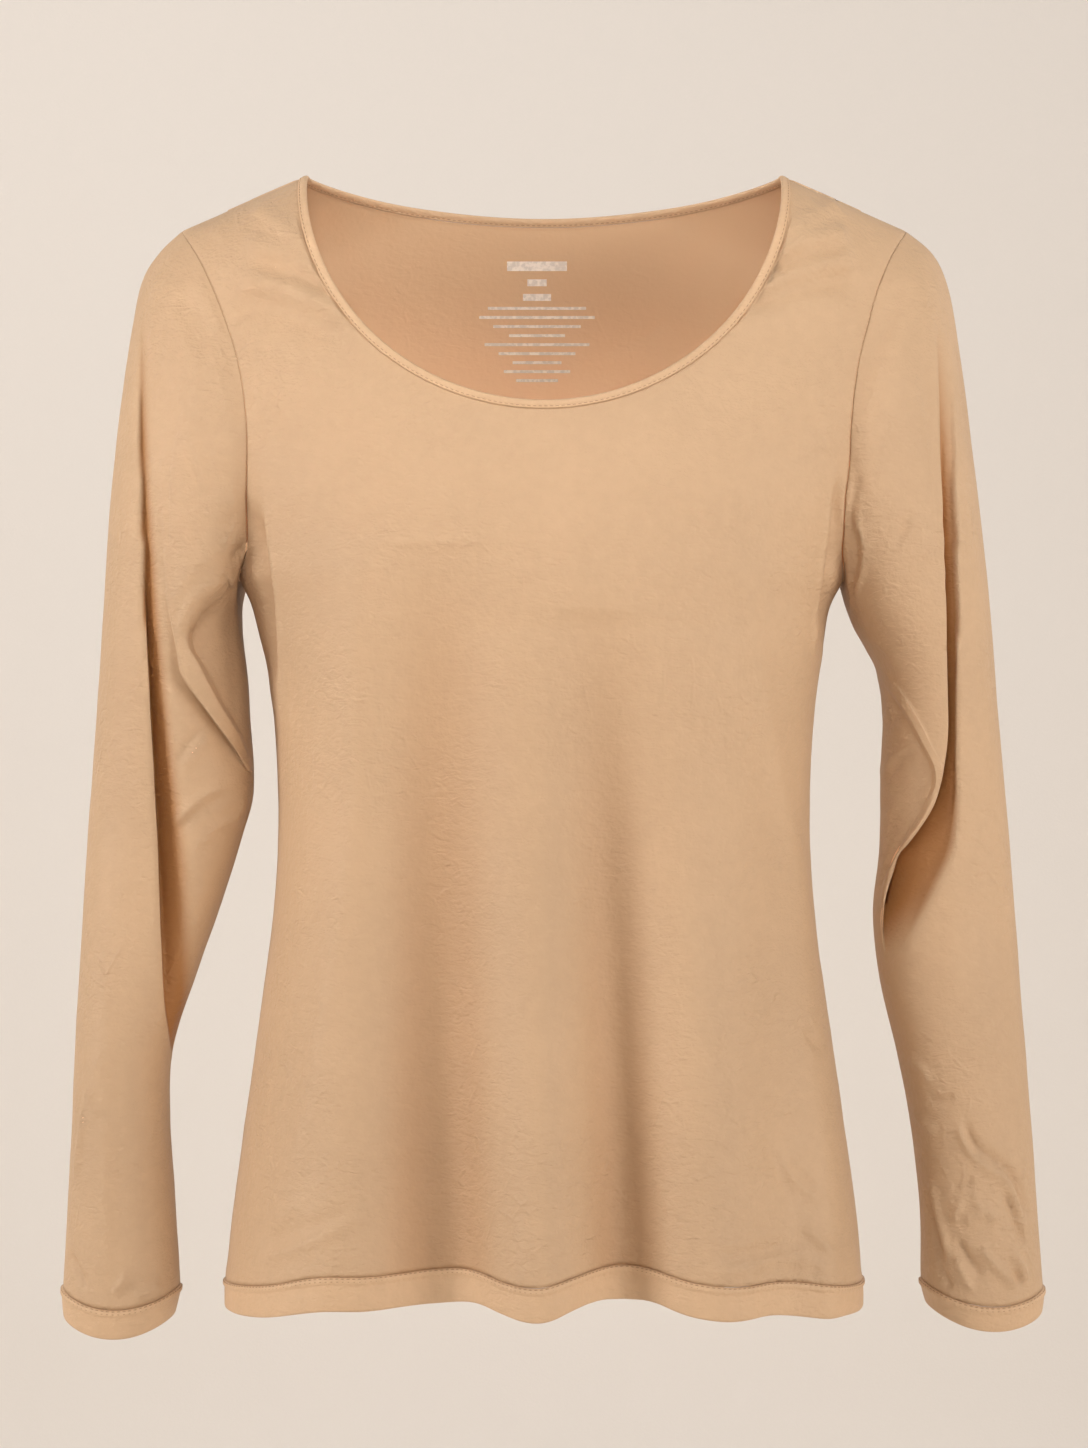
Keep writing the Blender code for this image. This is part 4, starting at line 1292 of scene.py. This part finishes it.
def make_panel(name, face):
    """A panel's cloth, with painted shade marked in its troughs for the finish."""
    points = turn_in_edges(panel_surface(face)[0], face)
    cloth = cloth_shell(name, points, grid_normals(points, face))
    # painted shade in the troughs of the drape folds
    trough = -fold_depth(face, points[..., 0], points[..., 2])
    mark_painted_shade(cloth, TROUGH_PAINTED_SHADE_SHARE * smoothstep(trough / TROUGH_DEEP))
    return cloth


def panel_edges(row):
    """The front and back panels' edges at one row, joined into a loop, with normals."""
    edges, normals = [], []
    shares = panel_shares()
    keep = np.abs(shares) <= NECK_SHARE + TINY if row == 0 else np.full(len(shares), True)
    for face in (FRONT, BACK):
        points, directions = panel_surface(face)
        edges.append(points[row, keep])
        normals.append(directions[row, keep])
    return join_loops(*edges), unit(join_loops(*normals))


def binding_frame():
    """The neckline's points, outward normals and directions down the cloth."""
    edge, normal = panel_edges(0)
    edge, normal, _ = even_loop(edge, BINDING_STEPS, normal)
    tangent = unit(np.roll(edge, -1, axis=0) - np.roll(edge, 1, axis=0))
    return edge, normal, unit(np.cross(normal, tangent))


def make_neck_binding():
    """The folded strip round the neckline."""
    edge, normal, across = binding_frame()
    loops = [edge + across * along + normal * out for along, out in BINDING_SECTION]
    return swept_band("neck_binding_cloth", loops)


def band_loops(edge, normal, down, height, draw_in, pitch):
    """The corners of a band's section all the way round its edge."""
    _, _, run = even_loop(edge, len(edge), normal)
    loops = []
    for along, out in RIDGE_SECTION:
        swell = RIDGE_SWELL * np.cos(2 * np.pi * run / pitch) * smoothstep(out / RIDGE_TOP)
        loops.append(edge + down * along + normal * (out + swell)[:, None])
    ridge_end = RIDGE_SECTION[-1][0]
    for share, out in SKIRT_SECTION:
        along = ridge_end + (height - ridge_end) * share
        loops.append(edge + down * along + normal * (out - draw_in * min(share, 1)))
    return loops


def hem_frame():
    """The hem seam's points, outward normals and downward directions."""
    edge, normal = panel_edges(-1)
    normal[:, 2] = 0.0
    edge, normal, _ = even_loop(edge, HEM_STEPS, unit(normal))
    down = np.zeros_like(edge)
    down[:, 2] = HEM_SIDE_LIFT * normal[:, 0] ** HEM_SIDE_POWER - 1
    return edge, normal, down


def make_hem_band(pitch):
    loops = band_loops(*hem_frame(), HEM_BAND_HEIGHT, 0.0, pitch)
    return swept_band("hem_band_cloth", loops)


def sleeve_surface(side):
    """A sleeve's outer points, set against its armhole, and the painted shade in its folds."""
    settings = bpy.context.scene.top_settings
    points, at, painted_shade = sleeve_rings(side, *SLEEVES[side])
    seam, _, away = armhole_loop(side)
    offset = seam + away * SEAM_GAP / 2 - points[0]
    points = points + offset[None] * (1 - smoothstep(at / SEAM_SETTLES))[:, None, None]
    normals = grid_normals(points, side, closed=True)
    from_cap = edge_distance(points, 0, False)
    to_cuff = edge_distance(points, 0, True)
    lift = settings.crumple / MM * crumple(points, CRUMPLE_SEED + 2 * side)
    x, y, z = np.moveaxis(points, -1, 0)
    facing = 2 * normals[..., 1]
    relief = smoothstep(-facing) * crease_relief(SLEEVE_CREASES[side], x, z)
    relief += smoothstep(facing) * crease_relief(SLEEVE_BACK_CREASES, side * x, z)
    lift = lift + settings.crease * relief
    lift = lift * smoothstep(from_cap / EDGE_SETTLE) * smoothstep(to_cuff / EDGE_SETTLE)
    return points + normals * lift[..., None], painted_shade


def make_sleeve(name, side):
    """A sleeve's cloth, whose flat pattern opens down its inner side."""
    points, painted_shade = sleeve_surface(side)
    points = turn_in_edges(points, side, closed=True)
    to_seam = -sum(SLEEVE_FRONT_SPANS)
    points, painted_shade = (np.roll(values, to_seam, axis=1) for values in (points, painted_shade))
    cloth = cloth_shell(name, points, grid_normals(points, side, closed=True), closed=True)
    mark_painted_shade(cloth, painted_shade)
    return cloth


def cuff_frame(side):
    """The cuff seam's points, outward normals and downward directions."""
    points, _ = sleeve_surface(side)
    normal = grid_normals(points, side, closed=True)[-1]
    normal[:, 2] = 0.0
    edge, normal, _ = even_loop(points[-1], CUFF_STEPS, unit(normal))
    down = np.broadcast_to((CUFF_LEAN * side, 0.0, -1.0), edge.shape)
    return edge, normal, down


def make_cuff(name, side, height, pitch):
    return swept_band(name, band_loops(*cuff_frame(side), height, CUFF_DRAW_IN, pitch))


def make_print(panel):
    """Plain bars that lie just inside the back panel's cloth."""
    points, faces = [], []
    part = np.linspace(-1, 1, PRINT_STEPS + 1)
    for height, half_width, half_height in PRINT_BARS:
        start = len(points)
        for z in (height + half_height, height - half_height):
            for x in PRINT_CENTRE + half_width * part:
                hit, spot, _, _ = panel.ray_cast((x * MM, 0, z * MM), (0, 1, 0))
                if not hit:
                    raise RuntimeError("the back panel has no cloth behind the print")
                points.append((x, spot.y / MM - PRINT_LIFT, z))
        for a in range(start, start + PRINT_STEPS):
            b = a + PRINT_STEPS + 1
            faces.append((a, b, b + 1, a + 1))
    return new_object("inside_print", points, faces)


# ---------------------------------------------------------------- node trees


class Nodes:
    """A node tree whose nodes are added by one method."""

    def __init__(self, tree):
        self.tree = tree

    def node(self, kind, settings=None, inputs=None):
        """Adds a node: its settings are set first, then its sockets' values or links."""
        node = self.tree.nodes.new(kind)
        for key, value in (settings or {}).items():
            setattr(node, key, value)
        by_identifier = {socket.identifier: socket for socket in node.inputs}
        for key, value in (inputs or {}).items():
            socket = by_identifier[key] if key in by_identifier else node.inputs[key]
            if isinstance(value, Value):
                value = value.socket
            if isinstance(value, bpy.types.NodeSocket):
                self.tree.links.new(value, socket)
            else:
                socket.default_value = value
        return node

    def first(self, kind, **inputs):
        """The first output of a node that needs no settings."""
        return self.node(kind, None, inputs).outputs[0]


class Value:
    """A shader value that Python sums can use."""

    def __init__(self, nodes, socket):
        self.nodes = nodes
        self.socket = socket

    def math(self, operation, *others, swapped=False):
        terms = (*others, self) if swapped else (self, *others)
        node = self.nodes.node("ShaderNodeMath", {"operation": operation}, dict(enumerate(terms)))
        return Value(self.nodes, node.outputs[0])

    def __add__(self, other):
        return self.math("ADD", other)

    def __rsub__(self, other):
        return self.math("SUBTRACT", other, swapped=True)

    def __mul__(self, other):
        return self.math("MULTIPLY", other)

    __radd__ = __add__
    __rmul__ = __mul__

    def sine(self):
        return self.math("SINE")

    def between(self, low, high):
        """0 up to low, 1 beyond high and a smooth rise between; low may be the larger."""
        settings = {"interpolation_type": "SMOOTHSTEP"}
        inputs = {"Value": self, "From Min": low, "From Max": high}
        node = self.nodes.node("ShaderNodeMapRange", settings, inputs)
        return Value(self.nodes, node.outputs["Result"])


# ---------------------------------------------------------------- stitches


def binding_rows():
    """Closed rows of stitch places on the binding, inside and out, with their normals."""
    edge, normal, across = binding_frame()
    return [
        (edge + across * along + normal * out, normal * turn)
        for along, out, turn in BINDING_ROWS
    ]


def ridge_rows(edge, normal, down):
    """Closed rows of stitch places on a band's ridge, with their normals."""
    return [(edge + down * along + normal * out, normal) for along, out in RIDGE_ROWS]


def cuff_rows():
    return [*ridge_rows(*cuff_frame(LEFT)), *ridge_rows(*cuff_frame(RIGHT))]


def stitch_path(name, rows):
    """A wire object that holds rows of stitch places, each a closed loop."""
    points = np.concatenate([row for row, _ in rows])
    outward = np.concatenate([normals for _, normals in rows])
    edges = []
    start = 0
    for row, _ in rows:
        steps = np.arange(len(row))
        edges.append(np.stack([start + steps, start + (steps + 1) % len(row)], axis=-1))
        start += len(row)
    mesh = bpy.data.meshes.new(name)
    mesh.from_pydata((points * MM).tolist(), np.concatenate(edges).tolist(), [])
    layer = mesh.attributes.new("outward", "FLOAT_VECTOR", "POINT")
    layer.data.foreach_set("vector", outward.reshape(-1))
    thing = bpy.data.objects.new(name, mesh)
    bpy.context.scene.collection.objects.link(thing)
    return thing


def stitch_sockets(face):
    """Adds what the stitches' tree takes and gives to its interface."""
    face.new_socket("Rows", in_out="INPUT", socket_type="NodeSocketGeometry")
    for label in ("Stitch length", "Stitch pitch", "Thread width"):
        face.new_socket(label, in_out="INPUT", socket_type="NodeSocketFloat")
    face.new_socket("Thread", in_out="INPUT", socket_type="NodeSocketMaterial")
    face.new_socket("Stitches", in_out="OUTPUT", socket_type="NodeSocketGeometry")


def stitch_tree():
    """Geometry nodes that lay one stitch after another along the rows of a wire object."""
    tree = bpy.data.node_groups.new("Stitch rows", "GeometryNodeTree")
    stitch_sockets(tree.interface)
    nodes = Nodes(tree)
    given = nodes.node("NodeGroupInput").outputs
    rows = nodes.first("GeometryNodeMeshToCurve", Mesh=given["Rows"])
    settings = {"mode": "LENGTH"}
    inputs = {"Curve": rows, "Length": given["Stitch pitch"]}
    places = nodes.node("GeometryNodeResampleCurve", settings, inputs).outputs[0]
    # A bead 1 m across, so that the stitch's own sizes are its scale
    inputs = {"Segments": STITCH_SIDES, "Rings": STITCH_RINGS, "Radius": 0.5}
    bead = nodes.first("GeometryNodeMeshUVSphere", **inputs)
    width = given["Thread width"]
    size = nodes.first("ShaderNodeCombineXYZ", X=given["Stitch length"], Y=width, Z=width)
    stitch = nodes.first("GeometryNodeTransform", Geometry=bead, Scale=size)
    tangent = nodes.first("GeometryNodeInputTangent")
    settings = {"data_type": "FLOAT_VECTOR"}
    outward = nodes.node("GeometryNodeInputNamedAttribute", settings, {"Name": "outward"})
    settings = {"primary_axis": "X", "secondary_axis": "Z"}
    inputs = {"Primary Axis": tangent, "Secondary Axis": outward.outputs["Attribute"]}
    turn = nodes.node("FunctionNodeAxesToRotation", settings, inputs).outputs[0]
    inputs = {"Points": places, "Instance": stitch, "Rotation": turn}
    laid = nodes.first("GeometryNodeInstanceOnPoints", **inputs)
    real = nodes.first("GeometryNodeRealizeInstances", Geometry=laid)
    smooth = nodes.first("GeometryNodeSetShadeSmooth", Geometry=real)
    painted = nodes.first("GeometryNodeSetMaterial", Geometry=smooth, Material=given["Thread"])
    nodes.node("NodeGroupOutput", None, {"Stitches": painted})
    return tree


def sew(name, rows, thread):
    """A plain mesh of stitches along rows of places."""
    settings = bpy.context.scene.top_settings
    thing = stitch_path(name, rows)
    tree = bpy.data.node_groups.get("Stitch rows") or stitch_tree()
    modifier = thing.modifiers.new("Stitches", "NODES")
    modifier.node_group = tree
    given = {
        "Stitch length": settings.stitch_length,
        "Stitch pitch": settings.stitch_pitch,
        "Thread width": settings.thread,
        "Thread": thread,
    }
    for socket in tree.interface.items_tree:
        if socket.in_out == "INPUT" and socket.name in given:
            modifier[socket.identifier] = given[socket.name]
    thing.update_tag()
    bpy.context.view_layer.update()
    evaluated = thing.evaluated_get(bpy.context.evaluated_depsgraph_get())
    sewn = bpy.data.meshes.new_from_object(evaluated)
    thing.modifiers.remove(modifier)
    thing.data = sewn
    sewn.name = name
    return thing


# ---------------------------------------------------------------- finishes


class Finish(Nodes):
    """A material, and the nodes that most finishes need."""

    def __init__(self, name):
        self.material = bpy.data.materials.new(name)
        self.material.use_nodes = True
        super().__init__(self.material.node_tree)
        self.tree.nodes.clear()
        self.place = self.node("ShaderNodeTexCoord").outputs["Object"]

    def noise(self, scale, detail=2.0, place=None, distortion=0.0):
        inputs = {"Vector": place or self.place, "Scale": scale, "Detail": detail}
        inputs["Distortion"] = distortion
        return Value(self, self.first("ShaderNodeTexNoise", **inputs))

    def attribute(self, label):
        node = self.node("ShaderNodeAttribute", {"attribute_name": label})
        return Value(self, node.outputs["Fac"])

    def vector(self, operation, first, **others):
        """Vector Math on one vector and what else the operation takes."""
        inputs = {"Vector": first, **others}
        node = self.node("ShaderNodeVectorMath", {"operation": operation}, inputs)
        return node.outputs["Vector"]

    def parts(self, vector):
        node = self.node("ShaderNodeSeparateXYZ", None, {"Vector": vector})
        return [Value(self, socket) for socket in node.outputs]

    def blend(self, share, first, second):
        """One colour turned into another by a share."""
        inputs = {"Factor_Float": share, "A_Color": first, "B_Color": second}
        node = self.node("ShaderNodeMix", {"data_type": "RGBA"}, inputs)
        return next(socket for socket in node.outputs if socket.identifier == "Result_Color")

    def bump(self, height, distance=1.0):
        return self.first("ShaderNodeBump", Height=height, Distance=distance, Strength=1.0)

    def surface(self, **inputs):
        """The closing shader: each name is a Principled socket's, with _ for a space."""
        named = {key.replace("_", " "): value for key, value in inputs.items()}
        shader = self.first("ShaderNodeBsdfPrincipled", **named)
        self.node("ShaderNodeOutputMaterial", None, {"Surface": shader})
        return self.material


def shade(colour, factor):
    """A colour made lighter or darker, with its alpha."""
    return (*(min(part * factor, 1.0) for part in colour), 1.0)


def crease_lines(finish):
    """Short straight crease lines that meet at points, broken up along their length."""
    inputs = {"Vector": finish.place, "Scale": CREASE_BEND_SCALE}
    bend = finish.node("ShaderNodeTexNoise", None, inputs).outputs["Color"]
    bend = finish.vector("SCALE", bend, Scale=CREASE_BEND)
    spot = finish.vector("ADD", finish.place, Vector_001=bend)
    settings = {"feature": "DISTANCE_TO_EDGE"}
    inputs = {"Vector": spot, "Scale": CREASE_SCALE}
    gap = Value(finish, finish.node("ShaderNodeTexVoronoi", settings, inputs).outputs[0])
    broken = finish.noise(BREAK_SCALE, detail=1.0).between(*BREAK_RANGE)
    return (1 - gap.between(0.0, CREASE_REACH)) * broken


def knit_height(finish, crease):
    """The knit's own relief in metres: crease lines in patches, ripples, grain and wales."""
    patches = finish.noise(PATCH_SCALE).between(*PATCH_RANGE)
    creased = crease_lines(finish) * patches * crease
    squeezed = finish.vector("MULTIPLY", finish.place, Vector_001=RIPPLE_STRETCH)
    ripples = finish.noise(RIPPLE_SCALE, place=squeezed, distortion=RIPPLE_TWIST)
    rippled = ripples * (patches * (1 - RIPPLE_FLOOR) + RIPPLE_FLOOR) * RIPPLE_RISE
    grain = finish.noise(GRAIN_SCALE, detail=3.0) * GRAIN_RISE
    cloth = finish.node("ShaderNodeUVMap", {"uv_map": "cloth"}).outputs["UV"]
    across, along, _ = finish.parts(cloth)
    wales = (across * (2 * np.pi / WALE_PITCH)).sine()
    courses = (along * (2 * np.pi / COURSE_PITCH)).sine()
    return creased + rippled + grain + wales * courses * WALE_RISE


def knit_colour(finish, tone, inside):
    """The knit's mottled colour, with painted light on the inside, most of all low down, and
    painted shade within a fold.
    """
    colour = bpy.context.scene.top_settings.knit_colour
    broad, fine = (
        finish.noise(scale, detail) * share
        for scale, detail, share in zip(MOTTLE_SCALES, MOTTLE_DETAILS, MOTTLE_SHARES)
    )
    mottle = (broad + fine).between(*MOTTLE_RANGE)
    face = finish.blend(mottle, *(shade(colour, part * tone) for part in MOTTLE_TONES))
    # painted light: the inside face is lighter, more so towards the bottom of the neck
    low = finish.parts(finish.place)[2].between(INSIDE_TOP, INSIDE_LOW)
    painted_light_inside = finish.blend(low, shade(colour, INSIDE_PAINTED_LIGHT_TONE), shade(colour, INSIDE_LOW_PAINTED_LIGHT_TONE))
    face = finish.blend(inside, face, painted_light_inside)
    # painted shade: deep folds turn towards a darker, more saturated colour
    deep = tuple(part * share for part, share in zip(colour, PAINTED_SHADE_TONE))
    return finish.blend(finish.attribute("painted_shade"), face, (*deep, 1.0))


def knit_finish(name, crease, tone=1.0):
    """Brushed fine-gauge knit with a soft sheen, calmer on the inside."""
    finish = Finish(name)
    inside = finish.attribute("inside")
    calm = 1 - inside * (1 - INSIDE_RELIEF)
    low, spread = KNIT_ROUGHNESS
    return finish.surface(
        Base_Color=knit_colour(finish, tone, inside),
        Roughness=finish.noise(ROUGHNESS_SCALE) * spread + low,
        Normal=finish.bump(knit_height(finish, crease) * calm),
        Specular_IOR_Level=0.4,
        Sheen_Weight=0.05,
        Sheen_Roughness=0.5,
        Sheen_Tint=(1.0, 0.85, 0.7, 1.0),
    )


def grained_finish(finish, grain, colours, roughness, rise, **more):
    """A finish whose colour, roughness and relief follow one grain."""
    low, spread = roughness
    return finish.surface(
        Base_Color=finish.blend(grain, *colours),
        Roughness=grain * spread + low,
        Normal=finish.bump(grain, rise),
        **more,
    )


def thread_finish():
    """Twisted sewing thread, a little deeper in colour than the knit."""
    finish = Finish("sewing_thread")
    tones = (shade(bpy.context.scene.top_settings.thread_colour, tone) for tone in THREAD_TONES)
    twist = finish.noise(THREAD_SCALE)
    more = {"Sheen_Weight": 0.1}
    return grained_finish(finish, twist, tones, THREAD_ROUGHNESS, THREAD_RISE, **more)


def print_finish():
    """A thin matt transfer print, slightly cracked."""
    finish = Finish("transfer_print")
    tones = (shade(bpy.context.scene.top_settings.print_colour, tone) for tone in PRINT_TONES)
    worn = finish.noise(PRINT_SCALE, detail=3.0).between(*PRINT_CRACKS)
    return grained_finish(finish, worn, tones, PRINT_ROUGHNESS, PRINT_RISE)


def backdrop_finish():
    """Pale warm studio paper."""
    finish = Finish("studio_paper")
    grain = finish.noise(PAPER_SCALE, detail=3.0)
    return grained_finish(finish, grain, PAPER_COLOURS, PAPER_ROUGHNESS, PAPER_RISE)


def finish_piece(thing, material, slot, *nodes):
    """Gives a piece its material and its body, and hides the solids that it stands for."""
    thing.data.materials.clear()
    thing.data.materials.append(material)
    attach(thing, "root")
    if nodes:
        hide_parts(*nodes)
    return thing


# ---------------------------------------------------------------- operators


class GARMENT_OT_panels(bpy.types.Operator):
    """Front and back panels with their drape folds and creases"""

    bl_idname = "garment.panels"
    bl_label = "Front and back"

    def execute(self, context):
        material = knit_finish("body_knit", CREASE_RISE)
        for node, face in (("front", FRONT), ("back", BACK)):
            panel = make_panel(node + "_cloth", face)
            finish_piece(panel, material, "body_cloth", node)
        return {"FINISHED"}


class GARMENT_OT_sleeves(bpy.types.Operator):
    """Both sleeves with their pleats and creases"""

    bl_idname = "garment.sleeves"
    bl_label = "Sleeves"

    def execute(self, context):
        material = knit_finish("sleeve_knit", SLEEVE_CREASE_RISE)
        for node, side in (("sleeve_left", LEFT), ("sleeve_right", RIGHT)):
            sleeve = make_sleeve(node + "_cloth", side)
            finish_piece(sleeve, material, "body_cloth", node)
        return {"FINISHED"}


class GARMENT_OT_trims(bpy.types.Operator):
    """Neck binding, hem band and cuffs"""

    bl_idname = "garment.trims"
    bl_label = "Binding and bands"

    def execute(self, context):
        pitch = context.scene.top_settings.stitch_pitch / MM
        material = knit_finish("trim_knit", TRIM_CREASE_RISE, TRIM_TONE)
        finish_piece(make_neck_binding(), material, "binding_cloth", "neck_binding")
        finish_piece(make_hem_band(pitch), material, "band_cloth", "hem_band")
        for node, side, height in CUFFS:
            cuff = make_cuff(node + "_cloth", side, height, pitch)
            finish_piece(cuff, material, "band_cloth", node)
        return {"FINISHED"}


class GARMENT_OT_stitches(bpy.types.Operator):
    """Rows of stitches on the binding and the bands"""

    bl_idname = "garment.stitches"
    bl_label = "Stitches"

    def execute(self, context):
        thread = thread_finish()
        rows = {
            "neck_stitches": ("binding_cloth", binding_rows()),
            "hem_stitches": ("band_cloth", ridge_rows(*hem_frame())),
            "cuff_stitches": ("band_cloth", cuff_rows()),
        }
        for name, (slot, places) in rows.items():
            finish_piece(sew(name, places, thread), thread, slot)
        return {"FINISHED"}


class GARMENT_OT_print(bpy.types.Operator):
    """Plain printed bars inside the back neck"""

    bl_idname = "garment.print"
    bl_label = "Inside print"

    def execute(self, context):
        bars = make_print(bpy.data.objects["back_cloth"])
        finish_piece(bars, print_finish(), "body_cloth")
        return {"FINISHED"}


class GARMENT_OT_declare(bpy.types.Operator):
    """An empty step: it changes nothing"""

    bl_idname = "garment.declare"
    bl_label = "Cloth sizes"

    def execute(self, context):
        return {"FINISHED"}


class GARMENT_OT_stage(bpy.types.Operator):
    """Round pale backdrop, soft lights and the camera"""

    bl_idname = "garment.stage"
    bl_label = "Stage"

    def execute(self, context):
        make_backdrop()
        make_lights()
        make_camera(context.scene)
        make_world(context.scene)
        return {"FINISHED"}


class GARMENT_PT_panel(bpy.types.Panel):
    """Lists the steps and the sizes"""

    bl_idname = "GARMENT_PT_panel"
    bl_label = "Base Layer Top"
    bl_space_type = "VIEW_3D"
    bl_region_type = "UI"
    bl_category = "Garment"

    def draw(self, context):
        for name in TopSettings.__annotations__:
            self.layout.prop(context.scene.top_settings, name)
        for step in STEPS:
            self.layout.operator(step.bl_idname)


# ---------------------------------------------------------------- the stage


def make_backdrop():
    """A floor that curves up into a round wall."""
    turn = np.linspace(0, np.pi / 2, WALL_BENDS + 1)
    radii = [FLOOR_HOLE, *(WALL_RADIUS - WALL_CURVE + WALL_CURVE * np.sin(turn)), WALL_RADIUS]
    heights = [FLOOR_HEIGHT, *(FLOOR_HEIGHT + WALL_CURVE * (1 - np.cos(turn))), WALL_TOP]
    around = np.linspace(0, 2 * np.pi, WALL_SIDES + 1)[:-1]
    points = [
        (radius * np.cos(a) / MM, radius * np.sin(a) / MM, height / MM)
        for radius, height in zip(radii, heights)
        for a in around
    ]
    quads, _ = grid_quads(len(radii), len(around), closed=True)
    backdrop = new_object("backdrop", points, quads)
    backdrop.data.materials.append(backdrop_finish())


def make_lights():
    """Soft round lights that the camera doesn't see."""
    for name, place, aim, width, spread, watts, colour in LIGHTS:
        lamp = bpy.data.lights.new(name, "AREA")
        lamp.shape = "DISK"
        lamp.size = width
        lamp.spread = np.radians(spread)
        lamp.energy = watts
        lamp.color = colour
        thing = bpy.data.objects.new(name, lamp)
        thing.location = place
        heading = Vector(aim) - Vector(place)
        thing.rotation_euler = heading.to_track_quat("-Z", "Y").to_euler()
        thing.visible_camera = False
        bpy.context.scene.collection.objects.link(thing)


def make_camera(scene):
    """A level camera in front of the garment."""
    lens = bpy.data.cameras.new("camera")
    lens.sensor_width = SENSOR
    lens.lens = SENSOR * CAMERA_DISTANCE / (PICTURE_HEIGHT_PIXELS * PIXEL_SIZE)
    camera = bpy.data.objects.new("camera", lens)
    camera.location = (0, -CAMERA_DISTANCE, CAMERA_HEIGHT)
    camera.rotation_euler = (np.pi / 2, 0, 0)
    scene.collection.objects.link(camera)
    scene.camera = camera
    scene.view_settings.view_transform = "Standard"


def make_world(scene):
    """An even warm light from all round."""
    world = bpy.data.worlds.new("studio")
    world.use_nodes = True
    sky = world.node_tree.nodes["Background"]
    sky.inputs["Color"].default_value = (*WARM, 1.0)
    sky.inputs["Strength"].default_value = WORLD_STRENGTH
    scene.world = world


STEPS = (
    GARMENT_OT_panels,
    GARMENT_OT_sleeves,
    GARMENT_OT_trims,
    GARMENT_OT_stitches,
    GARMENT_OT_print,
    GARMENT_OT_declare,
    GARMENT_OT_stage,
)
CLASSES = (TopSettings, *STEPS, GARMENT_PT_panel)


def register():
    for kind in CLASSES:
        bpy.utils.register_class(kind)
    bpy.types.Scene.top_settings = bpy.props.PointerProperty(type=TopSettings)


def unregister():
    del bpy.types.Scene.top_settings
    for kind in reversed(CLASSES):
        bpy.utils.unregister_class(kind)


def main():
    register()
    for step in STEPS:
        group, name = step.bl_idname.split(".")
        getattr(getattr(bpy.ops, group), name)()


if __name__ == "__main__":
    main()
